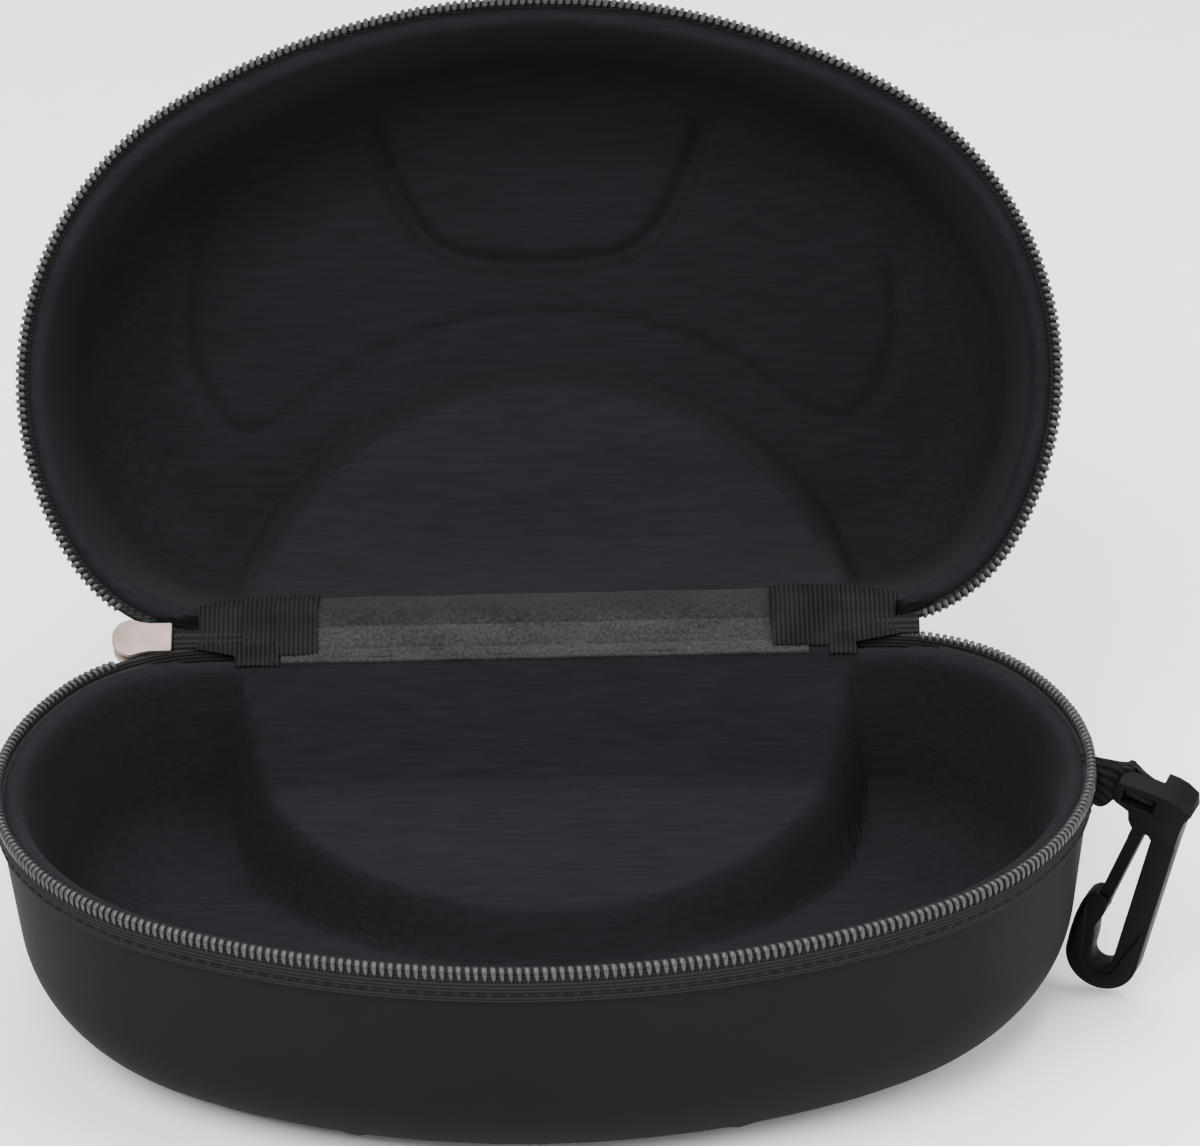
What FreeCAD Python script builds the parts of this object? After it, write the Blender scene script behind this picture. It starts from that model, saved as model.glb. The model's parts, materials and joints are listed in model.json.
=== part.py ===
import FreeCAD, Part
import math
import os

# A moulded clamshell case for sports goggles, standing open on its base.
# Two shells of foam, covered outside and lined inside, meet at a zip and turn on a fabric hinge.
# Millimetres. +X right, +Y towards the hinge at the back, +Z up.
# The origin is the centre of the base's flat bottom.

Vector = FreeCAD.Vector

# ---- driving dimensions ----
CASE_WIDTH = 210.0
CASE_DEPTH = 128.0           # hinge line to the front of the shell
SHELL_HEIGHT = 50.0          # parting plane to the outside of the bottom
OPEN_ANGLE = 116.0           # lid to base, as the case stands open
CORNER_SWEEP = 58.0          # turn of each back corner, in degrees
CORNER_SHARE = 0.263         # back corner radius as a share of the depth
SIDE_SHARE = 0.52            # side radius as a share of the depth
WALL_DRAFT = 5.0             # how far the wall leans in over its whole height
BOTTOM_RADIUS = 21.0

SKIN = 0.7                   # laminated fabric on the outside
FOAM = 4.0                   # moulded foam
LINING = 0.6                 # brushed knit on the inside
EDGE_DROP = 3.25             # foam edge below the parting plane
HINGE_GAP = 0.6              # back wall in front of the hinge line
HINGE_RELIEF = 5.1           # free radius about the hinge line for the zip ends
RELIEF_HALF = 92.0           # half length of that free space

NOSE_RADIUS = 65.8           # round edge of the raised nose platform, on the lining
NOSE_FLARE = 10.5            # how far its foot spreads
NOSE_CENTRE = 14.5           # centre of that round, behind the hinge line
CREASE_V = 18.0              # crease between back slope and platform: distance from the hinge line
CREASE_DEPTH = 26.0          # and its depth below the parting plane
SLOPE_START_V = 4.0          # where the back slope leaves the rim
PLATFORM_FALL = 0.25         # platform depth gained per millimetre forward

COIL_OUT = 0.9               # coil stands proud of the shell
COIL_IN = 1.5
COIL_TOP = 0.15              # clear of the parting plane
COIL_FOOT = 2.75
TAPE = 0.45                  # zip tape thickness
TAPE_LEG = 3.6               # tape sewn to the outside of the shell
STITCH_DEPTH = 5.3           # thread row below the parting plane
THREAD = 0.45
LIP_INSET = 1.8              # lining rolled over the foam edge starts here
LIP_RISE = 0.55
SEAM_PLAY = 0.05             # gap left between sewn layers

CHAIN_HALF_WIDTH = 2.5       # meshed zip at the two hinge ends
CHAIN_HALF_THICK = 1.05
CHAIN_START = 54.5
CHAIN_END = 76.0
HINGE_HALF = 53.0            # half length of the hinge fabric
HINGE_FABRIC = 0.8
TAB_LENGTH = 9.0             # folded grosgrain end tabs
TAB_THICK = 0.7
TAB_HALF_WIDTH = 3.6

SLIDER_LENGTH = 12.0
SLIDER_SHOULDER = 8.4
SLIDER_TAIL = 6.6
SLIDER_PLATE = 0.9
SLIDER_WALL = 0.5
RUN_PLAY = 0.3               # running clearance in the slider, bail and puller
PULLER_LENGTH = 24.0
PULLER_WIDTH = 5.2
PULLER_THICK = 1.4
BAIL_WIRE = 1.3
BAIL_SPAN = 6.0

HOOK_TILT = 13.5             # lean of the hanging hook, in degrees
HOOK_YAW = 24.0              # its right side turned to the front
HOOK_THICK = 6.0
HOOK_LENGTH = 44.2           # crossbar axis to the bottom of the bend
HOOK_STEM = 4.9
HOOK_SHOULDER = 2.55         # from the stem's outer side to the head's right end
HOOK_BEND_IN = 2.3           # inside radius of the bend
HEAD_WIDTH = 16.5
HEAD_DROP = 8.2              # crossbar axis to the underside of the head
EYE_WIDTH = 6.8              # opening that the webbing goes through
BAR_RADIUS = 1.8
GATE_WIDTH = 2.6
GATE_THICK = 3.2
GATE_PIN = 0.8
GATE_LEAN = 7.5              # gate's slant to the stem, in degrees
TIP_HEIGHT = 13.0            # hook's nose above the centre of the bend
HOOK_CLEAR_FLOOR = 2.16      # hook's bend above the floor
HOOK_CLEAR_SIDE = 3.3        # hook's nose out from the widest point of the shell, before the lean
STRAP_WIDTH = 12.0           # webbing of the hook loop
STRAP_THICK = 1.1
STRAP_ROOT_Y = 9.0           # middle of its sewn root

# ---- sizes that follow ----
WALL = SKIN + FOAM + LINING
THETA = math.radians(OPEN_ANGLE)
HINGE = Vector(0, CASE_DEPTH / 2, SHELL_HEIGHT)
X_AXIS = Vector(1, 0, 0)
Y_AXIS = Vector(0, 1, 0)
ORIGIN = Vector(0, 0, 0)


# ---- the plan outline: arcs that run into one another ----
def outline_arcs():
    """Back line half length and the three arcs (centre x, centre v, radius) of the right half."""
    depth = CASE_DEPTH - HINGE_GAP
    corner = CORNER_SHARE * depth
    side = SIDE_SHARE * depth
    sweep = math.radians(CORNER_SWEEP)
    half_back = CASE_WIDTH / 2 - side - (corner - side) * math.sin(sweep)
    corner_centre = (half_back, HINGE_GAP + corner)
    side_x = half_back + (corner - side) * math.sin(sweep)
    side_v = HINGE_GAP + corner - (corner - side) * math.cos(sweep)
    gap = side_v - CASE_DEPTH
    front = (side**2 - side_x**2 - gap**2) / (2 * (gap + side))
    return half_back, (*corner_centre, corner), (side_x, side_v, side), (0.0, CASE_DEPTH - front, front)


def on_arc(arc, direction, inset):
    """Point of an arc in a direction (x, v), drawn inwards by inset."""
    length = math.hypot(*direction)
    reach = (arc[2] - inset) / length
    return arc[0] + direction[0] * reach, arc[1] + direction[1] * reach


def outline(inset, depth):
    """Closed wire of the shell's plan outline, drawn inwards by inset, at a depth."""
    half_back, corner, side, front = outline_arcs()
    sweep = math.radians(CORNER_SWEEP)
    middle = math.radians(CORNER_SWEEP / 2)
    to_front = (side[0] - front[0], side[1] - front[1])
    turn = math.atan2(to_front[0], -to_front[1])
    points = [
        (half_back, HINGE_GAP + inset),
        on_arc(corner, (math.sin(middle), -math.cos(middle)), inset),
        on_arc(corner, (math.sin(sweep), -math.cos(sweep)), inset),
        on_arc(side, (math.sin((sweep + turn) / 2), -math.cos((sweep + turn) / 2)), inset),
        on_arc(side, to_front, inset),
    ]

    def place(x, v):
        return Vector(x, -v, -depth)

    right = [place(x, v) for x, v in points]
    left = [place(-x, v) for x, v in points]
    nose = place(0, CASE_DEPTH - inset)
    edges = [
        Part.LineSegment(left[0], right[0]).toShape(),
        Part.Arc(right[0], right[1], right[2]).toShape(),
        Part.Arc(right[2], right[3], right[4]).toShape(),
        Part.Arc(right[4], nose, left[4]).toShape(),
        Part.Arc(left[4], left[3], left[2]).toShape(),
        Part.Arc(left[2], left[1], left[0]).toShape(),
    ]
    return Part.Wire(edges)


def drafted(inset, depth):
    return inset + WALL_DRAFT * depth / SHELL_HEIGHT


def drafted_solid(inset, top, bottom):
    """Solid inside the leaning wall, between two depths."""
    wires = [outline(drafted(inset, top), top), outline(drafted(inset, bottom), bottom)]
    return Part.makeLoft(wires, True, True)


def band(inset_out, inset_in, top, bottom):
    """Ring that follows the wall, between two insets and two depths."""
    return drafted_solid(inset_out, top, bottom).cut(drafted_solid(inset_in, top - 1, bottom + 1))


# ---- the two shells, built about the hinge line ----
def nose_block(inset):
    """The raised nose platform that the mould pushes up inside the shell."""
    sink = WALL - inset
    run = CREASE_V - SLOPE_START_V
    slant = math.hypot(run, CREASE_DEPTH)
    back_shift = sink * slant / CREASE_DEPTH
    slope = run / CREASE_DEPTH
    level = CREASE_DEPTH + sink * math.hypot(1, PLATFORM_FALL)
    level_at_rim = level - PLATFORM_FALL * CREASE_V
    crease_v = (SLOPE_START_V - back_shift + slope * level_at_rim) / (1 - slope * PLATFORM_FALL)
    crease_d = level + PLATFORM_FALL * (crease_v - CREASE_V)
    start_v = crease_v - slope * (crease_d + 2)
    deep = SHELL_HEIGHT + 2
    far = CASE_DEPTH
    corners = [
        (start_v, -2),
        (crease_v, crease_d),
        (far, level + PLATFORM_FALL * (far - CREASE_V)),
        (far, deep + PLATFORM_FALL * far),
        (start_v - 20, deep + PLATFORM_FALL * far),
        (start_v - 20, -2),
    ]
    side = [Vector(-CASE_WIDTH, -v, -d) for v, d in corners]
    prism = Part.Face(Part.makePolygon(side + side[:1])).extrude(Vector(2 * CASE_WIDTH, 0, 0))
    radius = NOSE_RADIUS - sink
    flare_top = CREASE_DEPTH + PLATFORM_FALL * (NOSE_RADIUS - NOSE_CENTRE - CREASE_V)
    profile = [
        (0, -2),
        (radius, -2),
        (radius, flare_top + sink),
        (radius + NOSE_FLARE, SHELL_HEIGHT - inset + 2),
        (0, SHELL_HEIGHT - inset + 2),
    ]
    rim = [Vector(x, 0, -d) for x, d in profile]
    drum = Part.Face(Part.makePolygon(rim + rim[:1])).revolve(ORIGIN, Vector(0, 0, 1), 360)
    drum.translate(Vector(0, NOSE_CENTRE, 0))
    return prism.common(drum)


def pocket(inset, top):
    """Solid inside one face of the shell wall, from a depth down to that face's bottom."""
    bottom = SHELL_HEIGHT - inset
    body = drafted_solid(inset, top, bottom)
    tightest = outline_arcs()[1][2] - drafted(inset, bottom)
    radius = min(BOTTOM_RADIUS - inset, 0.85 * tightest)
    edges = [e for e in body.Edges if abs(e.BoundBox.ZMin + bottom) < 1e-4 and e.BoundBox.ZLength < 1e-4]
    return body.makeFillet(radius, edges).cut(nose_block(inset))


def hinge_space():
    """Round space about the hinge line that the shells leave free."""
    return Part.makeCylinder(HINGE_RELIEF, 2 * RELIEF_HALF, Vector(-RELIEF_HALF, 0, 0), X_AXIS)


def back_zone(left, right, reach):
    """Box round the hinge line between two X positions."""
    return Part.makeBox(right - left, 2 * reach, 4 * reach, Vector(left, -reach, -2 * reach))


def outer_skin():
    return pocket(0, EDGE_DROP).cut(pocket(SKIN, 0)).cut(hinge_space())


def foam_core():
    return pocket(SKIN, EDGE_DROP).cut(pocket(SKIN + FOAM, 0)).cut(hinge_space())


def lining():
    cloth = pocket(SKIN + FOAM, EDGE_DROP - LIP_RISE).cut(pocket(WALL, 0))
    lip = band(LIP_INSET, WALL, EDGE_DROP - LIP_RISE, EDGE_DROP)
    return cloth.fuse(lip).removeSplitter().cut(hinge_space())


def zip_tape():
    leg = band(-TAPE, 0, EDGE_DROP - TAPE, EDGE_DROP + TAPE_LEG)
    top = band(-TAPE, LIP_INSET - SEAM_PLAY, EDGE_DROP - TAPE, EDGE_DROP)
    ring = leg.fuse(top).removeSplitter().cut(hinge_space())
    return ring.cut(back_zone(-CHAIN_START, CHAIN_START, 2 * HINGE_RELIEF))


def zip_coil():
    ring = band(-COIL_OUT, COIL_IN, COIL_TOP, COIL_FOOT)
    slider_end = -(CHAIN_END + SLIDER_LENGTH + 0.5)
    corner = outline_arcs()[1][2]
    return ring.cut(back_zone(slider_end, CHAIN_END, corner / 2)).cut(hinge_space())


def zip_stitching():
    row = band(-TAPE - THREAD, -TAPE, STITCH_DEPTH, STITCH_DEPTH + THREAD)
    return row.cut(back_zone(-CHAIN_START, CHAIN_START, 2 * HINGE_RELIEF)).cut(hinge_space())


SHELL_PIECES = {
    "outer_skin": outer_skin,
    "foam_core": foam_core,
    "lining": lining,
    "zip_tape": zip_tape,
    "zip_coil": zip_coil,
    "zip_stitching": zip_stitching,
}


def onto_lid(shape):
    """The lid is the base's mirror image, opened about the hinge line."""
    lid = shape.mirror(ORIGIN, Vector(0, 0, 1))
    lid.rotate(ORIGIN, X_AXIS, -OPEN_ANGLE)
    return lid


# ---- fabric across the hinge ----
def base_side(v, depth):
    return Vector(0, -v, -depth)


def lid_side(v, depth):
    y = -v * math.cos(THETA) + depth * math.sin(THETA)
    z = v * math.sin(THETA) + depth * math.cos(THETA)
    return Vector(0, y, z)


def outward(distance):
    """Point on the line that halves the angle between the shells, behind the hinge line."""
    half = THETA / 2
    return Vector(0, distance * math.cos(half), -distance * math.sin(half))


def strip(inner, outer, half_length):
    """Sheet whose section lies between two three-point curves, along the hinge."""
    edges = [
        Part.Arc(*inner).toShape(),
        Part.LineSegment(inner[2], outer[2]).toShape(),
        Part.Arc(outer[2], outer[1], outer[0]).toShape(),
        Part.LineSegment(outer[0], inner[0]).toShape(),
    ]
    face = Part.Face(Part.Wire(edges))
    face.translate(Vector(-half_length, 0, 0))
    return face.extrude(Vector(2 * half_length, 0, 0))


def hinge_inner_strip():
    near = HINGE_RELIEF - SEAM_PLAY
    edge_v = near * math.cos(math.radians(35))
    edge_d = near * math.sin(math.radians(35))
    shrink = 1 - HINGE_FABRIC / near
    outer = [base_side(edge_v, edge_d), outward(near - 1.2), lid_side(edge_v, edge_d)]
    inner = [
        base_side(edge_v * shrink, edge_d * shrink),
        outward(near - 1.2 - HINGE_FABRIC),
        lid_side(edge_v * shrink, edge_d * shrink),
    ]
    return strip(inner, outer, HINGE_HALF)


def hinge_outer_strip():
    """Outer fabric sewn to both back walls, bridging the gap between them."""
    top = HINGE_RELIEF + 0.2
    foot = top + TAPE_LEG + 4
    lean = WALL_DRAFT / SHELL_HEIGHT
    near = HINGE_GAP - SEAM_PLAY
    far = near - HINGE_FABRIC
    corners = [
        base_side(near + lean * foot, foot),
        base_side(near + lean * top, top),
        lid_side(near + lean * top, top),
        lid_side(near + lean * foot, foot),
        lid_side(far + lean * foot, foot),
        lid_side(far + lean * top, top + HINGE_FABRIC),
        base_side(far + lean * top, top + HINGE_FABRIC),
        base_side(far + lean * foot, foot),
    ]
    face = Part.Face(Part.makePolygon(corners + corners[:1]))
    face.translate(Vector(-HINGE_HALF, 0, 0))
    return face.extrude(Vector(2 * HINGE_HALF, 0, 0))


def hinge_stitch_row(v_out):
    """Thread row that holds the hinge fabric to one back wall, on the outside."""
    depth = HINGE_RELIEF + TAPE_LEG + 2
    lean = WALL_DRAFT * depth / SHELL_HEIGHT
    inner = 2 * SEAM_PLAY - v_out - lean
    return Part.makeBox(2 * HINGE_HALF - 4, THREAD, THREAD, Vector(2 - HINGE_HALF, inner, -depth))


# ---- pieces that turn half as far as the lid: drawn with the inside face towards +Z ----
def halfway(shape):
    """Turn a piece drawn flat so that it faces out of the open case."""
    shape.rotate(ORIGIN, X_AXIS, 90 - OPEN_ANGLE / 2)
    return shape


def chain(start, end):
    size = (end - start, 2 * CHAIN_HALF_WIDTH, 2 * CHAIN_HALF_THICK)
    ribbon = Part.makeBox(*size, Vector(start, -CHAIN_HALF_WIDTH, -CHAIN_HALF_THICK))
    long_edges = [e for e in ribbon.Edges if abs(e.BoundBox.XLength - size[0]) < 1e-6]
    return halfway(ribbon.makeFillet(0.7, long_edges))


def end_tab(side):
    """Grosgrain ribbon folded over the end of the hinge strip and the start of the meshed zip."""
    start = HINGE_HALF + 0.3 - TAB_LENGTH
    low = CHAIN_HALF_THICK + 0.1
    top = Part.makeBox(TAB_LENGTH + 6, 2 * TAB_HALF_WIDTH, TAB_THICK, Vector(start, -TAB_HALF_WIDTH, low))
    corners = [e for e in top.Edges if abs(e.BoundBox.ZLength - TAB_THICK) < 1e-6]
    ribbon = top.makeFillet(0.6, corners)
    if side < 0:
        ribbon = ribbon.mirror(ORIGIN, X_AXIS)
    return halfway(ribbon)


# ---- the zip slider and its puller ----
def slider_plan():
    """Plan of a slider plate: wide shoulders, narrow square tail. The tail points to +X."""
    shoulder = SLIDER_SHOULDER / 2
    tail = SLIDER_TAIL / 2
    front = -CHAIN_END - SLIDER_LENGTH + 1
    back = -CHAIN_END + 1
    middle = front + SLIDER_LENGTH * 0.45
    return front, back, middle, shoulder, tail


def slider_plate(height):
    front, back, middle, shoulder, tail = slider_plan()
    corners = [
        Vector(front, -shoulder * 0.6, height),
        Vector(front + 2.2, -shoulder, height),
        Vector(middle - 1, -shoulder, height),
        Vector(middle + 2, -tail, height),
        Vector(back, -tail, height),
        Vector(back, tail, height),
        Vector(middle + 2, tail, height),
        Vector(middle - 1, shoulder, height),
        Vector(front + 2.2, shoulder, height),
        Vector(front, shoulder * 0.6, height),
    ]
    plate = Part.Face(Part.makePolygon(corners + corners[:1])).extrude(Vector(0, 0, SLIDER_PLATE))
    uprights = [e for e in plate.Edges if abs(e.BoundBox.ZLength - SLIDER_PLATE) < 1e-6]
    return plate.makeFillet(0.6, uprights)


def slider_body():
    gap = CHAIN_HALF_THICK + RUN_PLAY
    front, back, middle, shoulder, tail = slider_plan()
    body = slider_plate(gap).fuse(slider_plate(-gap - SLIDER_PLATE))
    post_length = SLIDER_LENGTH * 0.3
    post = Part.makeCylinder(0.8, 2 * gap + 0.2, Vector(front + 1.4, 0, -gap - 0.1))
    wedge = Part.makeBox(post_length, 1.0, 2 * gap + 0.2, Vector(front + 1.4, -0.5, -gap - 0.1))
    body = body.fuse(post).fuse(wedge)
    for side in (-1, 1):
        wall_y = side * (tail - SLIDER_WALL / 2) - SLIDER_WALL / 2
        wall_at = Vector(middle + 2, wall_y, -gap - 0.1)
        wall = Part.makeBox(back - middle - 2, SLIDER_WALL, 2 * gap + 0.2, wall_at)
        body = body.fuse(wall)
    outside = -gap - SLIDER_PLATE
    centre = (front + back) / 2
    bail_height = PULLER_THICK + 2 * RUN_PLAY + 0.2
    for end in (-1, 1):
        foot_x = centre + end * (BAIL_SPAN - BAIL_WIRE) / 2 - BAIL_WIRE / 2
        foot_at = Vector(foot_x, -BAIL_WIRE / 2, outside - bail_height)
        foot = Part.makeBox(BAIL_WIRE, BAIL_WIRE, bail_height + 0.2, foot_at)
        body = body.fuse(foot)
    bridge_at = Vector(centre - BAIL_SPAN / 2, -BAIL_WIRE / 2, outside - bail_height - BAIL_WIRE)
    body = body.fuse(Part.makeBox(BAIL_SPAN, BAIL_WIRE, BAIL_WIRE + 0.05, bridge_at))
    return halfway(body.removeSplitter())


def puller_pivot():
    """Middle of the space under the bail, in the slider's own drawing."""
    front, back = slider_plan()[:2]
    gap = CHAIN_HALF_THICK + RUN_PLAY
    height = PULLER_THICK + 2 * RUN_PLAY + 0.2
    return Vector((front + back) / 2, 0, -gap - SLIDER_PLATE - height / 2)


def slider_puller():
    """Flat tongue that hangs from the bail; its crosswise pin lies under the bail's bridge."""
    pivot = puller_pivot()
    radius = PULLER_THICK / 2
    pin_length = PULLER_WIDTH
    pin = Part.makeCylinder(radius, pin_length, Vector(pivot.x, -pin_length / 2, pivot.z), Y_AXIS)
    arms = None
    reach = BAIL_WIRE + 2 * RUN_PLAY + 2.4
    for side in (-1, 1):
        arm_y = side * (PULLER_WIDTH / 2 - 0.75) - 0.75
        arm = Part.makeBox(PULLER_THICK, 1.5, reach, Vector(pivot.x - radius, arm_y, pivot.z - reach))
        arms = arm if arms is None else arms.fuse(arm)
    blade_at = Vector(pivot.x - radius, -PULLER_WIDTH / 2, pivot.z - PULLER_LENGTH)
    blade = Part.makeBox(PULLER_THICK, PULLER_WIDTH, PULLER_LENGTH - reach, blade_at)
    ends = [
        e
        for e in blade.Edges
        if abs(e.BoundBox.XLength - PULLER_THICK) < 1e-6 and e.BoundBox.ZMax < pivot.z - PULLER_LENGTH + 0.1
    ]
    blade = blade.makeFillet(PULLER_WIDTH / 2 - 0.5, ends)
    hole_at = Vector(pivot.x - 2 * radius, 0, pivot.z - PULLER_LENGTH + 4)
    hole = Part.makeCylinder(1.1, 4 * radius, hole_at, X_AXIS)
    return halfway(pin.fuse(arms).fuse(blade).cut(hole).removeSplitter())


# ---- the plastic snap hook, drawn upright in the XZ plane about its crossbar's axis ----
def slab(points, thickness):
    """Flat plate from a closed list of (x, z) corners, centred on Y."""
    corners = [Vector(x, -thickness / 2, z) for x, z in points]
    return Part.Face(Part.makePolygon(corners + corners[:1])).extrude(Vector(0, thickness, 0))


def hook_layout():
    """Outer radius and centre of the bend, and the inner side of the stem."""
    outer = HOOK_BEND_IN + HOOK_STEM
    bend_z = outer - HOOK_LENGTH
    stem_in = HEAD_WIDTH / 2 - HOOK_SHOULDER - HOOK_STEM
    return outer, stem_in - HOOK_BEND_IN, bend_z, stem_in


def gate_pivot():
    outer, bend_x, bend_z, stem_in = hook_layout()
    return stem_in - GATE_WIDTH - 0.2, GATE_WIDTH / 2 + 0.6 - HEAD_DROP


def gate_reach():
    """Length of the gate from its pin to just above the shelf in the hook's nose."""
    outer, bend_x, bend_z, stem_in = hook_layout()
    shelf = bend_z + TIP_HEIGHT - 4.6
    return (gate_pivot()[1] - shelf - RUN_PLAY) / math.cos(math.radians(GATE_LEAN))


def nose_outline():
    """The hook's nose: an outer hump, a shelf under the gate's end and a face beside it."""
    outer, bend_x, bend_z, stem_in = hook_layout()
    pivot_x, pivot_z = gate_pivot()
    shelf = bend_z + TIP_HEIGHT - 4.6

    def beside_gate(z):
        middle = pivot_x - (pivot_z - z) * math.tan(math.radians(GATE_LEAN))
        return middle - GATE_WIDTH / 2 / math.cos(math.radians(GATE_LEAN)) - RUN_PLAY

    top = bend_z + TIP_HEIGHT
    return [
        (bend_x - outer, bend_z),
        (bend_x - HOOK_BEND_IN, bend_z),
        (bend_x - HOOK_BEND_IN - 0.2, shelf),
        (beside_gate(shelf), shelf),
        (beside_gate(top), top),
        (beside_gate(top) - 1.4, top - 0.4),
        (bend_x - outer + 0.2, shelf + 0.8),
        (bend_x - outer - 0.3, bend_z + 4.0),
    ]


def hook_head():
    """Block with an eye for the webbing, a round crossbar over the eye and a rounded top."""
    half = HEAD_WIDTH / 2
    post = 1.4
    block = slab([(-half, -HEAD_DROP), (half, -HEAD_DROP), (half, 0), (-half, 0)], HOOK_THICK)
    eye_low = -BAR_RADIUS - STRAP_THICK - 1.2
    left = post - half
    right = left + EYE_WIDTH
    eye_high = BAR_RADIUS + 2
    eye = slab([(left, eye_low), (right, eye_low), (right, eye_high), (left, eye_high)], HOOK_THICK + 2)
    bar = Part.makeCylinder(BAR_RADIUS, HEAD_WIDTH - 0.2, Vector(0.1 - half, 0, 0), X_AXIS)
    cap = Part.makeCylinder(HOOK_THICK / 2, half - right, Vector(right, 0, 0), X_AXIS)
    cheek = Part.makeCylinder(HOOK_THICK / 2, post, Vector(-half, 0, 0), X_AXIS)
    return block.cut(eye).fuse(bar).fuse(cap).fuse(cheek)


def gate_room():
    """Space between the head's cheeks for the gate's whole swing."""
    reach = GATE_WIDTH / 2 + RUN_PLAY
    width = GATE_THICK + 2 * RUN_PLAY
    room = Part.makeCylinder(reach, width, Vector(0, -width / 2, 0), Y_AXIS)
    for swing in (-1, 0, 4, 8, 12):
        lane = slab([(-reach, 0), (reach, 0), (reach, -HEAD_DROP), (-reach, -HEAD_DROP)], width)
        lane.rotate(ORIGIN, Y_AXIS, GATE_LEAN - swing)
        room = room.fuse(lane)
    pivot_x, pivot_z = gate_pivot()
    room.translate(Vector(pivot_x, 0, pivot_z))
    return room


def hook_frame():
    outer, bend_x, bend_z, stem_in = hook_layout()
    body = HOOK_THICK - 1
    stem_out = stem_in + HOOK_STEM
    stem_top = 1 - HEAD_DROP
    stem = slab([(stem_in, stem_top), (stem_in, bend_z), (stem_out, bend_z), (stem_out, stem_top)], body)
    ring = Part.makeCylinder(outer, body, Vector(bend_x, -body / 2, bend_z), Y_AXIS)
    hollow = Part.makeCylinder(HOOK_BEND_IN, HOOK_THICK, Vector(bend_x, -HOOK_THICK / 2, bend_z), Y_AXIS)
    ring = ring.cut(hollow)
    left = bend_x - outer - 1
    right = bend_x + outer + 1
    low = bend_z - outer - 1
    ring = ring.common(slab([(left, low), (right, low), (right, bend_z), (left, bend_z)], HOOK_THICK))
    nose = slab(nose_outline(), body)
    frame = hook_head().fuse(stem).fuse(ring).fuse(nose).cut(gate_room())
    pivot_x, pivot_z = gate_pivot()
    pin_at = Vector(pivot_x, 0.2 - HOOK_THICK / 2, pivot_z)
    pin = Part.makeCylinder(GATE_PIN, HOOK_THICK - 0.4, pin_at, Y_AXIS)
    return frame.fuse(pin).removeSplitter()


def hook_gate():
    half = GATE_WIDTH / 2
    reach = gate_reach()
    blade = slab([(-half, 0), (half, 0), (half - 0.2, -reach), (-half, -reach)], GATE_THICK)
    eye = Part.makeCylinder(half, GATE_THICK, Vector(0, -GATE_THICK / 2, 0), Y_AXIS)
    hole_at = Vector(0, -GATE_THICK / 2 - 0.5, 0)
    hole = Part.makeCylinder(GATE_PIN + 0.05, GATE_THICK + 1, hole_at, Y_AXIS)
    gate = blade.fuse(eye).cut(hole).removeSplitter()
    gate.rotate(ORIGIN, Y_AXIS, GATE_LEAN)
    pivot_x, pivot_z = gate_pivot()
    gate.translate(Vector(pivot_x, 0, pivot_z))
    return gate


def hook_place():
    """Where the crossbar's middle lies: beside the shell, with the bend just off the floor."""
    tilt = math.radians(HOOK_TILT)
    outer, bend_x, bend_z, stem_in = hook_layout()
    low = bend_x * -math.sin(tilt) + bend_z * math.cos(tilt) - outer
    aside = HOOK_CLEAR_SIDE + outer - bend_x
    return Vector(CASE_WIDTH / 2 + aside, 0, HOOK_CLEAR_FLOOR - low)


def hang(shape):
    shape.rotate(ORIGIN, Y_AXIS, HOOK_TILT)
    shape.rotate(ORIGIN, Vector(0, 0, 1), -HOOK_YAW)
    shape.translate(hook_place() - HINGE)
    return shape


def hung_point(x, y, z):
    corner = Part.Vertex(Vector(x, y, z))
    return hang(corner).Point


def hook_strap():
    """Webbing loop: a flat root under the zip, narrowed to a ring round the hook's crossbar."""
    ring_in = BAR_RADIUS + RUN_PLAY
    ring_out = ring_in + STRAP_THICK
    thick = 2 * STRAP_THICK
    left = 1.4 - HEAD_WIDTH / 2 + RUN_PLAY
    width = EYE_WIDTH - 2 * RUN_PLAY
    ring = Part.makeCylinder(ring_out, width, Vector(left, 0, 0), X_AXIS)
    ring = ring.cut(Part.makeCylinder(ring_in, width + 2, Vector(left - 1, 0, 0), X_AXIS))
    rise = HOOK_THICK / 2 + RUN_PLAY + STRAP_THICK
    neck_low = ring_in + 0.2
    neck = Part.makeBox(width, thick, rise + STRAP_THICK - neck_low, Vector(left, -STRAP_THICK, neck_low))
    loop = hang(ring.fuse(neck).removeSplitter())
    root_x = CASE_WIDTH / 2 - 0.6
    root_z = -EDGE_DROP - TAPE_LEG / 2

    def upright(centre, across, height):
        """Rectangle about a centre, its width along a level direction and its height along Z."""
        up = Vector(0, 0, height / 2)
        points = [centre - across - up, centre + across - up, centre + across + up, centre - across + up]
        return Part.makePolygon(points + points[:1])

    level = Vector(0, STRAP_WIDTH / 2, 0)
    narrow = Vector(math.sin(math.radians(HOOK_YAW)), math.cos(math.radians(HOOK_YAW)), 0) * (thick + 0.6)
    over_post = hung_point(left - 2.2, 0, rise)
    over_eye = hung_point(left + width / 2, 0, rise)
    sections = [
        upright(Vector(root_x, STRAP_ROOT_Y - HINGE.y, root_z), level, thick),
        upright(Vector(root_x + 2.2, STRAP_ROOT_Y - HINGE.y, root_z + 0.3), level, thick),
        upright(over_post, narrow, thick),
        upright(over_eye, narrow * 0.8, thick),
    ]
    tail = Part.makeLoft(sections, True, True)
    inside = drafted_solid(-TAPE - THREAD - SEAM_PLAY, EDGE_DROP - TAPE - 1, EDGE_DROP + TAPE_LEG + 4)
    return tail.cut(inside).fuse(loop).removeSplitter()


PIECES = {}
for piece_name, build in SHELL_PIECES.items():
    made = build()
    PIECES["base_" + piece_name] = made
    PIECES["lid_" + piece_name] = onto_lid(made)

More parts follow.
